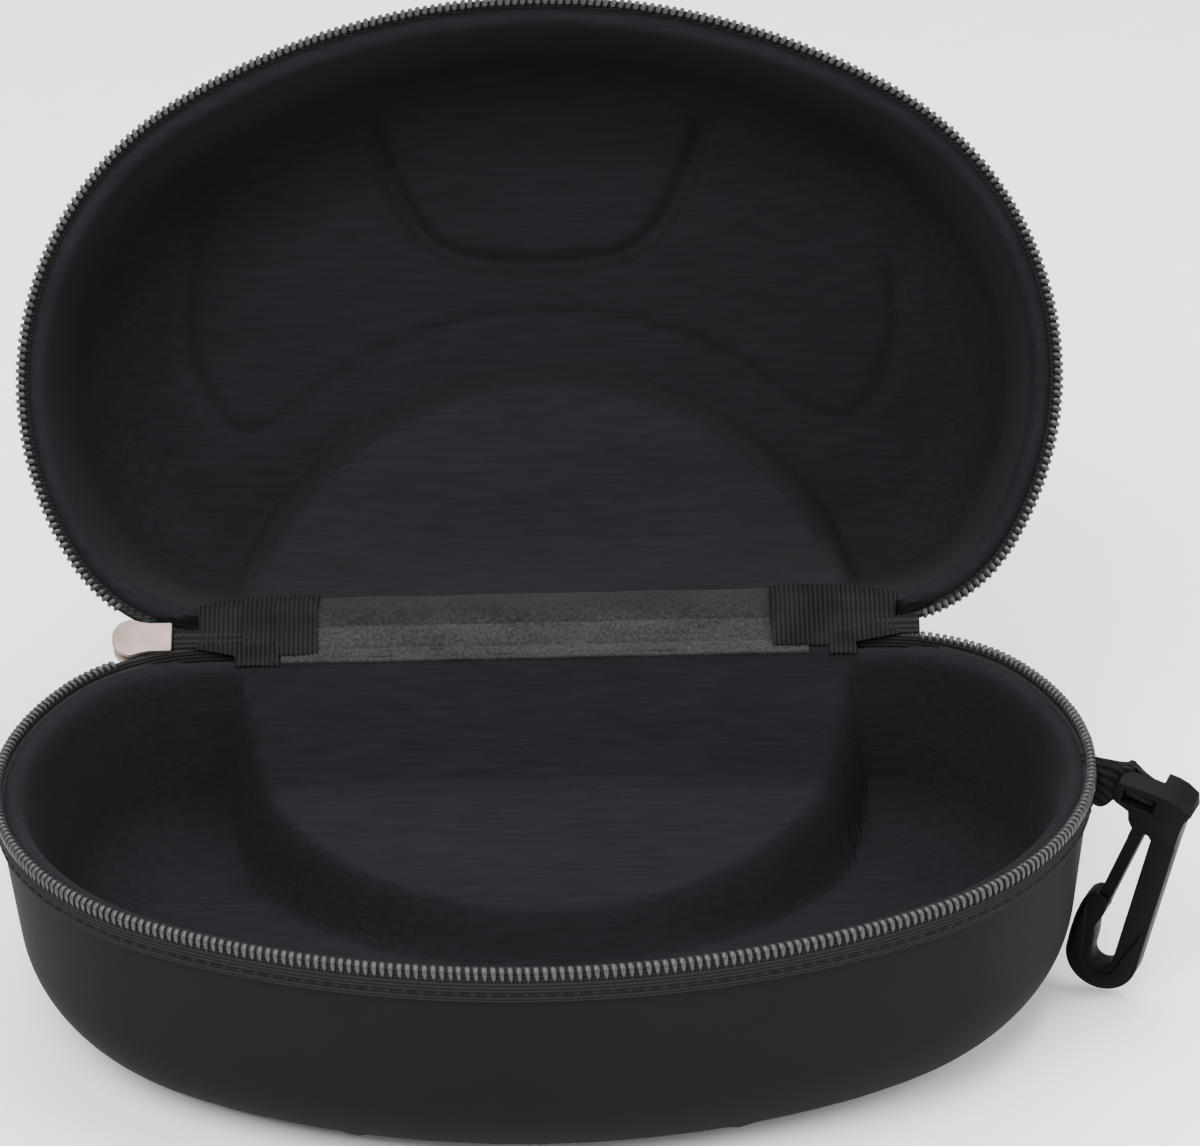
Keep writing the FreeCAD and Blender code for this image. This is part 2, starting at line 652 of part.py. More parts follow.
PIECES["hinge_inner_strip"] = hinge_inner_strip()
PIECES["hinge_outer_strip"] = hinge_outer_strip()
PIECES["base_hinge_stitching"] = hinge_stitch_row(HINGE_GAP - SEAM_PLAY - HINGE_FABRIC)
PIECES["lid_hinge_stitching"] = onto_lid(hinge_stitch_row(HINGE_GAP - SEAM_PLAY - HINGE_FABRIC))
PIECES["zip_chain_left"] = chain(-CHAIN_END, -CHAIN_START)
PIECES["zip_chain_right"] = chain(CHAIN_START, CHAIN_END)
PIECES["end_tab_left"] = end_tab(-1)
PIECES["end_tab_right"] = end_tab(1)
PIECES["slider_body"] = slider_body()
PIECES["slider_puller"] = slider_puller()
PIECES["hook_strap"] = hook_strap()
PIECES["hook_frame"] = hang(hook_frame())
PIECES["hook_gate"] = hang(hook_gate())

os.makedirs("parts", exist_ok=True)
for piece_name, shape in PIECES.items():
    shape.translate(HINGE)
    solids = len(shape.Solids)
    shape.exportStep("parts/" + piece_name + ".step")
    print(f"{piece_name:24s} solids {solids} volume {shape.Volume:10.1f} valid {shape.isValid()}")

pivot = puller_pivot()
turned = Part.Vertex(pivot)
halfway(turned)
turned.translate(HINGE)
hook_at = hook_place()
gate_at = Part.Vertex(Vector(gate_pivot()[0], 0, gate_pivot()[1]))
hang(gate_at)
gate_at.translate(HINGE)
print("hinge line", HINGE)
print("puller pivot", turned.Point)
print("hook crossbar", hook_at)
print("gate pivot", gate_at.Point)
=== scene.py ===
# %% [markdown]
# A moulded case for sports goggles, standing open. Two shells of foam are covered with smooth fabric
# outside and brushed knit inside. A nylon zip runs round both rims, and a fabric hinge joins the shells at
# the back. The solids that fix every size and joint are loaded first. All that follows is built around
# them, in metres.

# %% Load the frame
import json
import math
import random

import bpy
import numpy as np
from mathutils import Matrix, Vector


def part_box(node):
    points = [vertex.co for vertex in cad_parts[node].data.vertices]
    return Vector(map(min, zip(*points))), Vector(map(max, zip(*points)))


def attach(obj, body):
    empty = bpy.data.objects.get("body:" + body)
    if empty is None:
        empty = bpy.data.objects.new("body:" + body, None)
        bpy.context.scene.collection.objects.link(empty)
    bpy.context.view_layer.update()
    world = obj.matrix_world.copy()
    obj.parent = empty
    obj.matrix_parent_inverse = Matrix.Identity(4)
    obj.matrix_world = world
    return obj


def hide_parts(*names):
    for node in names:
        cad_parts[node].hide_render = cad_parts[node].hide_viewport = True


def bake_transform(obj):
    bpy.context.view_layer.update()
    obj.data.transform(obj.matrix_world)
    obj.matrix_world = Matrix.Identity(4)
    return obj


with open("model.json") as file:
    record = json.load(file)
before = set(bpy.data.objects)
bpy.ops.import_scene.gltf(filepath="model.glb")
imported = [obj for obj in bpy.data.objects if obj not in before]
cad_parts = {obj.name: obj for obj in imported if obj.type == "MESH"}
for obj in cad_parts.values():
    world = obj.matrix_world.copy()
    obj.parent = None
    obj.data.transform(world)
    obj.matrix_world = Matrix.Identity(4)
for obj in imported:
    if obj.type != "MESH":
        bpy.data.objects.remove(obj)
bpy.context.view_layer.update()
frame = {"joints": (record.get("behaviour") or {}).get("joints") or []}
joints = {joint["name"]: joint for joint in frame["joints"]}

# %% [markdown]
# The few sizes that the pieces share come from the frame: the hinge line gives the depth and the height of
# the base, the coil gives the width, and the lid's closed limit gives the angle at which the lid stands
# open.

# %% Shared sizes
MM = 0.001
HINGE = Vector(joints["lid_hinge"]["pos_m"])
OPEN_ANGLE = math.radians(-joints["lid_hinge"]["range_deg"][0])
COIL_OUT = 0.9 * MM
CASE_WIDTH = 2 * (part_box("base_zip_coil")[1].x - COIL_OUT)
CASE_DEPTH = 2 * HINGE.y
SHELL_HEIGHT = HINGE.z
WALL_DRAFT = 5.0 * MM
WALL = 5.3 * MM
BOTTOM_RADIUS = 21.0 * MM
HINGE_GAP = 0.6 * MM
HINGE_RELIEF = 5.1 * MM
print("case", round(CASE_WIDTH, 4), "x", round(CASE_DEPTH, 4), "open", round(math.degrees(OPEN_ANGLE), 1))

# %% [markdown]
# The plan outline is a straight back and three arcs on each side that run into one another: a small back
# corner, a larger side and a wide front. Walking along it by length keeps the zip's teeth evenly spaced, so
# the outline is a function of the distance walked from the middle of the back. Drawing it inwards only
# makes each radius smaller.

# %% The outline, walked by length
CORNER_SWEEP = math.radians(58)
CORNER_RADIUS = 0.263 * (CASE_DEPTH - HINGE_GAP)
SIDE_RADIUS = 0.52 * (CASE_DEPTH - HINGE_GAP)


def outline_arcs():
    """Half length of the straight back, then each arc's centre x, centre v, radius and end heading."""
    half_back = CASE_WIDTH / 2 - SIDE_RADIUS - (CORNER_RADIUS - SIDE_RADIUS) * math.sin(CORNER_SWEEP)
    side_x = half_back + (CORNER_RADIUS - SIDE_RADIUS) * math.sin(CORNER_SWEEP)
    side_v = HINGE_GAP + CORNER_RADIUS - (CORNER_RADIUS - SIDE_RADIUS) * math.cos(CORNER_SWEEP)
    gap = side_v - CASE_DEPTH
    front_radius = (SIDE_RADIUS**2 - side_x**2 - gap**2) / (2 * (gap + SIDE_RADIUS))
    front_v = CASE_DEPTH - front_radius
    turn = math.atan2(side_x, front_v - side_v)
    arcs = [
        (half_back, HINGE_GAP + CORNER_RADIUS, CORNER_RADIUS, CORNER_SWEEP),
        (side_x, side_v, SIDE_RADIUS, turn),
        (0.0, front_v, front_radius, math.pi),
    ]
    return half_back, arcs


HALF_BACK, ARCS = outline_arcs()
HALF_ROUND = HALF_BACK + sum(
    radius * (end - start) for (_, _, radius, end), start in zip(ARCS, [0.0, CORNER_SWEEP, ARCS[1][3]])
)


def rim_walk(walked):
    """Plan place (x, v) and outward direction at a walked length from the back's middle."""
    lap = np.mod(np.asarray(walked, float) + HALF_ROUND, 2 * HALF_ROUND) - HALF_ROUND
    side = np.where(lap < 0, -1.0, 1.0)
    length = np.abs(lap)
    x = np.minimum(length, HALF_BACK)
    v = np.full_like(x, HINGE_GAP)
    heading = np.zeros_like(x)
    before = HALF_BACK
    start = 0.0
    for centre_x, centre_v, radius, end in ARCS:
        on_arc = length > before
        angle = start + (length - before) / radius
        heading = np.where(on_arc, angle, heading)
        x = np.where(on_arc, centre_x + radius * np.sin(angle), x)
        v = np.where(on_arc, centre_v - radius * np.cos(angle), v)
        before += radius * (end - start)
        start = end
    return side * x, v, side * np.sin(heading), -np.cos(heading)


def shell_place(walked, inset, depth):
    """Points of the base's wall, at an inset from the outline and a depth below the parting plane."""
    x, v, out_x, out_v = rim_walk(walked)
    x = x - out_x * inset
    v = v - out_v * inset
    return np.stack([x, HINGE.y - v, HINGE.z - depth], axis=1)


print("outline length", round(2 * HALF_ROUND, 4))

# %% [markdown]
# Most of this object is sheet: fabric, knit, tape, ribbon. Each sheet starts as a grid primitive. The
# grid's two directions become "around" and "down", and every corner of the grid is moved to its place by a
# formula. Where the two ends of the grid meet, their doubled corners are merged, and a Solidify modifier
# gives the sheet its thickness.

# %% Helpers for sheets
def clear_selection():
    if bpy.context.object and bpy.context.object.mode != "OBJECT":
        bpy.ops.object.mode_set(mode="OBJECT")
    bpy.ops.object.select_all(action="DESELECT")


def choose(piece):
    clear_selection()
    piece.select_set(True)
    bpy.context.view_layer.objects.active = piece


def read_places(piece):
    places = np.zeros(len(piece.data.vertices) * 3)
    piece.data.vertices.foreach_get("co", places)
    return places.reshape(-1, 3)


def write_places(piece, places):
    piece.data.vertices.foreach_set("co", np.asarray(places, float).reshape(-1))
    piece.data.update()


def edit(piece, *steps):
    """Run edit-mode operators on the whole piece."""
    choose(piece)
    bpy.ops.object.mode_set(mode="EDIT")
    bpy.ops.mesh.select_all(action="SELECT")
    for step in steps:
        step()
    bpy.ops.object.mode_set(mode="OBJECT")


def merge_doubles():
    bpy.ops.mesh.remove_doubles(threshold=2e-6)


def face_outwards():
    bpy.ops.mesh.normals_make_consistent(inside=False)


def use_modifier(piece, kind, **settings):
    choose(piece)
    modifier = piece.modifiers.new(kind.title(), kind)
    for key, value in settings.items():
        setattr(modifier, key, value)
    bpy.ops.object.modifier_apply(modifier=modifier.name)


def smooth(piece, angle=40):
    choose(piece)
    bpy.ops.object.shade_smooth_by_angle(angle=math.radians(angle))


def shaped_sheet(name, across, along, place, thickness=0.0, outward=True):
    """A grid of across by along faces, moved by place(a, b), with a and b from 0 to 1, then thickened."""
    clear_selection()
    bpy.ops.mesh.primitive_grid_add(x_subdivisions=across, y_subdivisions=along, size=1)
    piece = bpy.context.object
    piece.name = name
    flat = read_places(piece)
    write_places(piece, place(flat[:, 0] + 0.5, flat[:, 1] + 0.5))
    edit(piece, merge_doubles)
    if thickness:
        use_modifier(piece, "SOLIDIFY", thickness=thickness, offset=-1 if outward else 1, use_rim=True)
    edit(piece, face_outwards)
    smooth(piece)
    return piece


# %% [markdown]
# The lid is the base's mirror image, opened about the hinge line, so each shell piece is modelled once on
# the base. Its copy is mirrored through the parting plane, which turns it inside out, so its faces are
# flipped back.

# %% The lid's copies
ABOUT_HINGE = Matrix.Translation(HINGE)
OPENED = Matrix.Rotation(-OPEN_ANGLE, 4, "X") @ Matrix.Scale(-1, 4, (0, 0, 1))
ONTO_LID = ABOUT_HINGE @ OPENED @ ABOUT_HINGE.inverted()


def copy_of(model, transform):
    copy = model.copy()
    copy.data = model.data.copy()
    bpy.context.scene.collection.objects.link(copy)
    copy.data.transform(transform)
    return copy


def lid_copy(piece, name):
    copy = copy_of(piece, ONTO_LID)
    copy.name = name
    edit(copy, bpy.ops.mesh.flip_normals)
    smooth(copy)
    return copy


def base_side(v, depth):
    return Vector((0, HINGE.y - v, HINGE.z - depth))


def lid_side(v, depth):
    return ONTO_LID @ base_side(v, depth)


def settle(piece, body, finish, slot, *nodes):
    """Give a piece its material, its body and the CAD nodes that it stands for."""
    piece.data.materials.clear()
    piece.data.materials.append(finish)
    if body:
        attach(piece, body)
    if nodes:
        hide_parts(*nodes)


def settle_pair(piece, finish, slot, *parts):
    """Settle a base piece and its copy on the lid, which stand for the nodes base_PART and lid_PART."""
    copy = lid_copy(piece, piece.name.replace("base_", "lid_", 1))
    for body, made in (("base", piece), ("lid", copy)):
        settle(made, body, finish, slot, *[f"{body}_{part}" for part in parts])
    return copy


# %% [markdown]
# Shader maths reads best as plain arithmetic. One small class wraps a socket, so that a * b + 0.2 adds the
# Math nodes by itself. Everything else that a finish needs comes from one method, which adds any node by
# its type.

# %% A small language for finishes
class Value:
    def __init__(self, finish, socket):
        self.finish = finish
        self.socket = socket

    def maths(self, operation, first, second):
        return self.finish.add("ShaderNodeMath", {"operation": operation}, {0: first, 1: second})

    def __add__(self, other):
        return self.maths("ADD", self, other)

    __radd__ = __add__

    def __mul__(self, other):
        return self.maths("MULTIPLY", self, other)

    __rmul__ = __mul__

    def __sub__(self, other):
        return self.maths("SUBTRACT", self, other)

    def __rsub__(self, other):
        return self.maths("SUBTRACT", other, self)


class Finish:
    def __init__(self, name, **constants):
        self.material = bpy.data.materials.new(name)
        self.material.use_nodes = True
        self.tree = self.material.node_tree
        self.shader = self.tree.nodes["Principled BSDF"]
        for key, value in constants.items():
            self.shader.inputs[key.replace("_", " ")].default_value = value

    def add(self, kind, settings=None, inputs=None, output=0):
        node = self.tree.nodes.new(kind)
        for key, value in (settings or {}).items():
            if key == "stops":
                ramp = node.color_ramp.elements
                for element, (position, tone) in zip(ramp, value):
                    element.position = position
                    element.color = (tone, tone, tone, 1)
            else:
                setattr(node, key, value)
        for key, value in (inputs or {}).items():
            if isinstance(value, Value):
                self.tree.links.new(value.socket, node.inputs[key])
            else:
                node.inputs[key].default_value = value
        return Value(self, node.outputs[output])

    def feed(self, tone, roughness, normal=None):
        """Join the finished values to the shader, and give the material."""
        for key, value in {"Base Color": tone, "Roughness": roughness, "Normal": normal}.items():
            if value:
                self.tree.links.new(value.socket, self.shader.inputs[key])
        return self.material

    def places(self, scale=(1, 1, 1), turn=(0, 0, 0)):
        here = self.add("ShaderNodeTexCoord", output="Object")
        return self.add("ShaderNodeMapping", {}, {"Vector": here, "Rotation": turn, "Scale": scale})

    def noise(self, where, scale, detail):
        inputs = {"Vector": where, "Scale": scale, "Detail": detail, "Roughness": 0.55}
        return self.add("ShaderNodeTexNoise", {}, inputs)

    def wave(self, where, scale, direction="X", distortion=0.0):
        settings = {"bands_direction": direction, "wave_profile": "SIN"}
        inputs = {"Vector": where, "Scale": scale, "Distortion": distortion, "Detail Scale": 2.0}
        return self.add("ShaderNodeTexWave", settings, inputs)

    def blend(self, factor, first, second):
        settings = {"data_type": "RGBA"}
        return self.add("ShaderNodeMix", settings, {0: factor, 6: first, 7: second}, output=2)

    def bump(self, height, strength, distance):
        return self.add("ShaderNodeBump", {}, {"Height": height, "Strength": strength, "Distance": distance})


def grey(tone, tint=(1, 1, 1)):
    """A grey of a given brightness, perhaps tinted."""
    return (tone * tint[0], tone * tint[1], tone * tint[2], 1)


VIOLET = (1, 0.96, 1.18)
FADED_VIOLET = (1.0, 0.96, 1.12)
WARM_NICKEL = (0.165, 0.130, 0.113, 1)
BRIGHT_NICKEL = (0.255, 0.208, 0.182, 1)


# %% [markdown]
# The outer fabric is a tight laminate, nearly smooth, with a very fine matte grain and faint clouding where
# it was stretched over the mould. The pattern is a quiet one: two sizes of noise, and a bump of a few
# hundredths of a millimetre, so that the soft light rolls off the shell as it does off rubbed cloth.

# %% Outer fabric
def outer_fabric():
    finish = Finish("outer_fabric", Specular_IOR_Level=0.04)
    here = finish.places()
    cloud = finish.noise(here, 22, 3)
    grain = finish.noise(here, 1400, 2)
    warp = finish.wave(finish.places(turn=(0.4, 0.3, 0.785)), 900, "X")
    weft = finish.wave(finish.places(turn=(0.3, 0.4, -0.785)), 900, "Y")
    tone = finish.blend(cloud * 0.7 + grain * 0.3, grey(0.0050), grey(0.0074))
    normal = finish.bump(grain * 0.6 + warp * weft * 0.4, 0.25, 0.06 * MM)
    return finish.feed(tone, grain * 0.18 + 0.58, normal)


# %% [markdown]
# The lining is a brushed knit. It has fine ribs that run across the case, short fuzz, and a slight blue-
# violet tint in the black. Its ribs are a stretched noise, with a coarser one for the nap that lies in
# patches.

# %% Brushed knit lining
def lining_knit():
    finish = Finish("lining_knit", Specular_IOR_Level=0.04, Sheen_Weight=0.012, Sheen_Roughness=0.5)
    ribs = finish.noise(finish.places(scale=(0.10, 1, 1)), 1100, 2)
    fuzz = finish.noise(finish.places(), 2600, 2)
    nap = finish.noise(finish.places(scale=(0.35, 1, 1)), 55, 4)
    level = ribs * 0.5 + fuzz * 0.2 + nap * 0.3
    tone = finish.blend(level, grey(0.0022, VIOLET), grey(0.0138, VIOLET))
    normal = finish.bump(ribs * 0.6 + fuzz * 0.4, 0.55, 0.18 * MM)
    return finish.feed(tone, fuzz * 0.1 + 0.82, normal)


# %% Hinge fabric: the same knit, worn lighter, with painted shade where it lies on the lid
def hinge_fabric():
    finish = Finish("hinge_fabric", Specular_IOR_Level=0.05, Sheen_Weight=0.03, Sheen_Roughness=0.5)
    fuzz = finish.noise(finish.places(), 1500, 4)
    patch = finish.noise(finish.places(scale=(0.4, 1, 1)), 160, 4)
    level = fuzz * 0.65 + patch * 0.35
    ramp = finish.add("ShaderNodeValToRGB", {"stops": [(0.32, 0.007), (0.68, 0.034)]}, {0: level})
    worn = finish.blend(0.12, ramp, grey(0.018, FADED_VIOLET))
    # Painted shade: where the strip turns up onto the lid, more than 1.5 mm above the hinge line, its colour
    # is darkened.
    height = finish.add("ShaderNodeSeparateXYZ", {}, {0: finish.places()}, output=2)
    above_fold = (height - HINGE.z - 1.5 * MM) * 330
    painted_lid_shade = finish.add("ShaderNodeValToRGB", {"stops": [(0.0, 0.0), (1.0, 1.0)]}, {0: above_fold})
    tone = finish.blend(painted_lid_shade * 0.6, worn, grey(0.006, FADED_VIOLET))
    return finish.feed(tone, fuzz * 0.1 + 0.85, finish.bump(fuzz, 0.8, 0.35 * MM))


# %% [markdown]
# Woven tapes, ribbon and webbing differ in the size of their ribs and in which way they run. One function
# makes them all: ribs across the length, a finer weft over them, and a little lint.

# %% Woven tapes
def woven(name, tone, rib_scale, direction, depth=0.18 * MM):
    finish = Finish(name, Specular_IOR_Level=0.03)
    here = finish.places()
    ribs = finish.wave(here, rib_scale, direction, 0.4)
    lint = finish.noise(here, 1900, 3)
    level = ribs * 0.75 + lint * 0.25
    colour = finish.blend(level, grey(tone * 0.45), grey(tone * 1.5))
    return finish.feed(colour, lint * 0.15 + 0.7, finish.bump(level, 0.8, depth))


# %% [markdown]
# Nylon coil is moulded from a clear-bodied thread dyed black, so it is shinier than the cloth round it, and
# rubbing leaves its tone a little uneven.

# %% Nylon coil
def nylon_coil():
    finish = Finish("nylon_coil", Specular_IOR_Level=0.35)
    rub = finish.noise(finish.places(), 700, 3)
    tone = finish.blend(rub, grey(0.012), grey(0.036))
    return finish.feed(tone, rub * 0.2 + 0.3, finish.bump(rub, 0.2, 0.05 * MM))


# %% Moulded plastic of the hook
def moulded_plastic():
    finish = Finish("moulded_plastic", Specular_IOR_Level=0.06)
    grain = finish.noise(finish.places(), 900, 4)
    scuff = finish.noise(finish.places(scale=(1, 1, 0.25)), 260, 5)
    tone = finish.blend(scuff, grey(0.0016), grey(0.0048))
    normal = finish.bump(grain * 0.6 + scuff * 0.4, 0.3, 0.08 * MM)
    return finish.feed(tone, scuff * 0.25 + 0.42, normal)


# %% Warm nickel plate of the slider and puller
def nickel_plate():
    finish = Finish("nickel_plate", Metallic=0.75)
    brushed = finish.noise(finish.places(scale=(0.15, 1, 1)), 1500, 3)
    tarnish = finish.noise(finish.places(), 240, 4)
    tone = finish.blend(tarnish, WARM_NICKEL, BRIGHT_NICKEL)
    return finish.feed(tone, brushed * 0.25 + 0.32, finish.bump(brushed, 0.25, 0.04 * MM))


OUTER_FABRIC = outer_fabric()
LINING_KNIT = lining_knit()
HINGE_FABRIC = hinge_fabric()
ZIP_TAPE = woven("zip_tape_weave", 0.0115, 420, "Z")
GROSGRAIN = woven("grosgrain_ribbon", 0.0088, 330, "X", depth=0.3 * MM)
WEBBING = woven("webbing_weave", 0.0090, 300, "DIAGONAL", depth=0.3 * MM)
THREAD = woven("thread_twist", 0.0085, 700, "DIAGONAL", depth=0.08 * MM)
NYLON = nylon_coil()
HOOK_PLASTIC = moulded_plastic()
NICKEL = nickel_plate()
print("finishes", len(bpy.data.materials))

# %% [markdown]
# Both faces of a shell come from the same mould. Inside there is a raised nose platform: a slope from the
# hinge edge, a straight crease, a platform that falls gently forwards and a round foot. Round it runs a
# shallow groove in the shape of a goggle frame. Here the mould is a formula: the depth below the parting
# plane at a plan place. "sink" is how far a face lies behind the lining's face, so one formula serves
# inside and outside.

# %% The mould
NOSE_RADIUS = 64.2 * MM
NOSE_FOOT = 7.0 * MM
NOSE_CENTRE = 14.5 * MM
CREASE_V = 18.0 * MM
CREASE_DEPTH = 26.0 * MM
SLOPE_START = 4.0 * MM
PLATFORM_FALL = 0.25
RING_RADIUS = 80.9 * MM
RING_HALF = 44.0 * MM
FRAME_LINE = [
    (44, 53.4), (55, 45), (64, 41.5), (71, 48), (75.2, 60),
    (75.6, 74), (72.5, 87), (63, 97), (53, 105), (41, 111),
]
NOSE_LINE = [(37, 113), (33.5, 101), (28.5, 88.5), (22, 80.5), (12.5, 77.3), (0, 76.8)]
BEAD = 0.7 * MM
BEAD_HALF = 54.0 * MM
BEAD_FADE = 4.0 * MM
CREASE_SOFTNESS = 0.3 * MM
NO_LINE_NEAR = 1.0
LINE_WIDTH = 2.0 * MM
LINE_DEPTH = 1.0 * MM
NOSE_LINE_WIDTH = 2.1 * MM
NOSE_LINE_DEPTH = 2.2 * MM
OUTSIDE_SHARE = 0.4


def ease(value):
    value = np.clip(value, 0, 1)
    return value * value * (3 - 2 * value)


def rounded(points, cuts=3):
    """Corner cutting: each pass turns a chain of points into a smoother one."""
    line = np.array(points, float) * MM
    for _ in range(cuts):
        near = 0.75 * line[:-1] + 0.25 * line[1:]
        far = 0.25 * line[:-1] + 0.75 * line[1:]
        between = np.stack([near, far], axis=1).reshape(-1, 2)
        line = np.concatenate([line[:1], between, line[-1:]])
    return line


def distance_to(line, x, v):
    """Shortest plan distance from each place to a chain of points."""
    best = np.full(x.shape, NO_LINE_NEAR)
    for (ax, av), (bx, bv) in zip(line[:-1], line[1:]):
        length = (bx - ax) ** 2 + (bv - av) ** 2
        share = np.clip(((x - ax) * (bx - ax) + (v - av) * (bv - av)) / length, 0, 1)
        best = np.minimum(best, np.hypot(x - ax - share * (bx - ax), v - av - share * (bv - av)))
    return best


def groove(distance, width, depth):
    return depth * np.exp(-((distance / width) ** 2))


def mould_depth(x, v, sink):
    floor = SHELL_HEIGHT - WALL + sink
    slope = CREASE_DEPTH / (CREASE_V - SLOPE_START)
    back = (v - SLOPE_START) * slope + sink * math.hypot(1, slope)
    platform = CREASE_DEPTH + PLATFORM_FALL * (v - CREASE_V) + sink * math.hypot(1, PLATFORM_FALL)
    block = 0.5 * (back + platform - np.sqrt((back - platform) ** 2 + CREASE_SOFTNESS**2))
    from_centre = np.hypot(x, v + NOSE_CENTRE)
    foot = ease((from_centre - NOSE_RADIUS + sink) / NOSE_FOOT)
    bead = groove(v - CREASE_V, BEAD, BEAD) * (1 - ease((np.abs(x) - BEAD_HALF) / BEAD_FADE))
    return np.minimum(block + (floor - block) * foot, floor) - (0 if sink else bead)


def groove_depth(x, v, sink):
    """The pressed lines on the floor: a ring round the platform, the goggle's frame and its nose."""
    from_centre = np.hypot(x, v + NOSE_CENTRE)
    mirrored = np.abs(x)
    ring = np.where(mirrored < RING_HALF, np.abs(from_centre - RING_RADIUS), NO_LINE_NEAR)
    frame_line = distance_to(rounded(FRAME_LINE), mirrored, v)
    nose_line = distance_to(rounded(NOSE_LINE), mirrored, v)
    cut = groove(np.minimum(ring, frame_line), LINE_WIDTH, LINE_DEPTH)
    cut = np.maximum(cut, groove(nose_line, NOSE_LINE_WIDTH, NOSE_LINE_DEPTH))
    return cut * (OUTSIDE_SHARE if sink else 1.0)


# %% [markdown]
# A shell face is walked from the rim down the wall, round the bottom corner and then inwards to the middle
# of the floor, where the rings close in one point. The mould's formula then lifts the nose platform. The
# free round space about the hinge line, which the zip's ends need, is kept by lowering whatever would stand
# in it.

# %% Walking down a shell face
WALL_RINGS = 12
CORNER_RINGS = 18
FLOOR_MIDDLE = 66.0 * MM


def face_profile(start_depth, inset):
    """Inset and depth of each ring down the wall and round the corner."""
    floor = SHELL_HEIGHT - inset
    radius = BOTTOM_RADIUS - inset
    rings = []
    for step in range(WALL_RINGS):
        depth = start_depth + (floor - radius - start_depth) * step / WALL_RINGS
        rings.append((inset + WALL_DRAFT * depth / SHELL_HEIGHT, depth))
    for step in range(CORNER_RINGS + 1):
        angle = math.pi / 2 * step / CORNER_RINGS
        depth = floor - radius + radius * math.sin(angle)
        drafted = inset + WALL_DRAFT * depth / SHELL_HEIGHT
        rings.append((drafted + radius * (1 - math.cos(angle)), depth))
    return rings


def finer_at(profile, middle, reach, count):
    """Add rings round one inset, so that a line that runs along a ring there is crisp."""
    insets = [ring[0] for ring in profile]
    depths = [ring[1] for ring in profile]
    extra = [middle + reach * (2 * step / (count - 1) - 1) for step in range(count)]
    kept = [ring for ring in profile if abs(ring[0] - middle) > reach]
    return sorted(kept + [(inset, float(np.interp(inset, insets, depths))) for inset in extra])


def shell_face(profile, sink, floor_rings):
    """The place function of a whole shell face: profile rings, then the floor."""
    insets = np.array([ring[0] for ring in profile])
    depths = np.array([ring[1] for ring in profile])
    floor = depths[-1]
    rings = len(profile) - 1
    total = rings + floor_rings

    def place(a, b):
        step = b * total
        inset = np.interp(step, np.arange(rings + 1), insets)
        depth = np.interp(step, np.arange(rings + 1), depths)
        places = shell_place(a * 2 * HALF_ROUND, inset, depth)
        inwards = np.clip((step - rings) / floor_rings, 0, 1)
        x = places[:, 0] * (1 - inwards)
        v = HINGE.y - places[:, 1]
        v = FLOOR_MIDDLE + (v - FLOOR_MIDDLE) * (1 - inwards)
        depth = np.minimum(depth, mould_depth(x, v, sink))
        on_floor = ease((depth - floor + 6 * MM) / (5 * MM))
        depth = depth + groove_depth(x, v, sink) * on_floor
        free = np.sqrt(np.maximum(HINGE_RELIEF**2 - v**2, 0))
        depth = np.maximum(depth, free)
        return np.stack([x, HINGE.y - v, HINGE.z - depth], axis=1)

    return place, total


# %% Outer skins
AROUND = 380
EDGE = 3.1 * MM
skin_place, skin_rings = shell_face(face_profile(EDGE, 0.0), WALL, 44)
base_skin = shaped_sheet("base_skin", AROUND, skin_rings, skin_place, 0.7 * MM)
settle_pair(base_skin, OUTER_FABRIC, "outer_fabric", "outer_skin", "foam_core")
print("skin faces", len(base_skin.data.polygons))

# %% [markdown]
# The lining is rolled over the foam's edge before it is sewn under the zip, which leaves a soft rounded lip
# just inside the teeth. The profile of the lip is only six points, which the sheet follows before it goes
# down the wall.

# %% Linings with their rolled lips
LIP = [(1.55, 3.3), (1.6, 2.75), (2.1, 2.35), (3.1, 2.15), (4.2, 2.35), (5.0, 3.0), (5.5, 4.1)]
lip_rings = [(inset * MM, depth * MM) for inset, depth in LIP]
wall_rings = finer_at(face_profile(5.6 * MM, WALL), CREASE_V - HINGE_GAP, 1.2 * MM, 11)
lining_place, lining_rings = shell_face(lip_rings + wall_rings, 0.0, 62)
base_lining = shaped_sheet("base_knit_lining", 410, lining_rings, lining_place, 0.6 * MM, outward=False)
lid_lining = settle_pair(base_lining, LINING_KNIT, "lining_knit", "lining")
print("lining faces", len(base_lining.data.polygons))

# %% [markdown]
# Each zip tape is folded: its flat part is sewn outside the shell, its edge lies on top of the foam, and a
# ridge between them carries the coil. The zip stops at the hinge fabric, so the tape is an open strip along
# the rim.

# %% Zip tapes
ZIP_START = 54.0 * MM
ZIP_LENGTH = 2 * (HALF_ROUND - ZIP_START)
TAPE_PROFILE = [
    (-0.05, 7.2), (-0.5, 7.0), (-0.62, 6.4), (-0.55, 5.6), (-0.6, 4.6), (-0.55, 3.4),
    (-0.2, 2.7), (-0.1, 1.3), (0.3, 1.0), (0.7, 1.3), (0.8, 2.6), (1.7, 2.9),
]


def along_profile(profile, start, length):
    """Place function of an open strip whose section is a chain of (inset, depth) points."""
    insets = np.array([point[0] for point in profile]) * MM
    depths = np.array([point[1] for point in profile]) * MM
    steps = np.arange(len(profile))

    def place(a, b):
        inset = np.interp(b * steps[-1], steps, insets)
        depth = np.interp(b * steps[-1], steps, depths)
        places = shell_place(start + a * length, inset + WALL_DRAFT * depth / SHELL_HEIGHT, depth)
        v = HINGE.y - places[:, 1]
        free = np.sqrt(np.maximum(HINGE_RELIEF**2 - v**2, 0))
        near_hinge = (v < HINGE_RELIEF) & (depth > 2.6 * MM)
        places[:, 2] = np.where(near_hinge, np.minimum(places[:, 2], HINGE.z - free), places[:, 2])
        return places

    return place


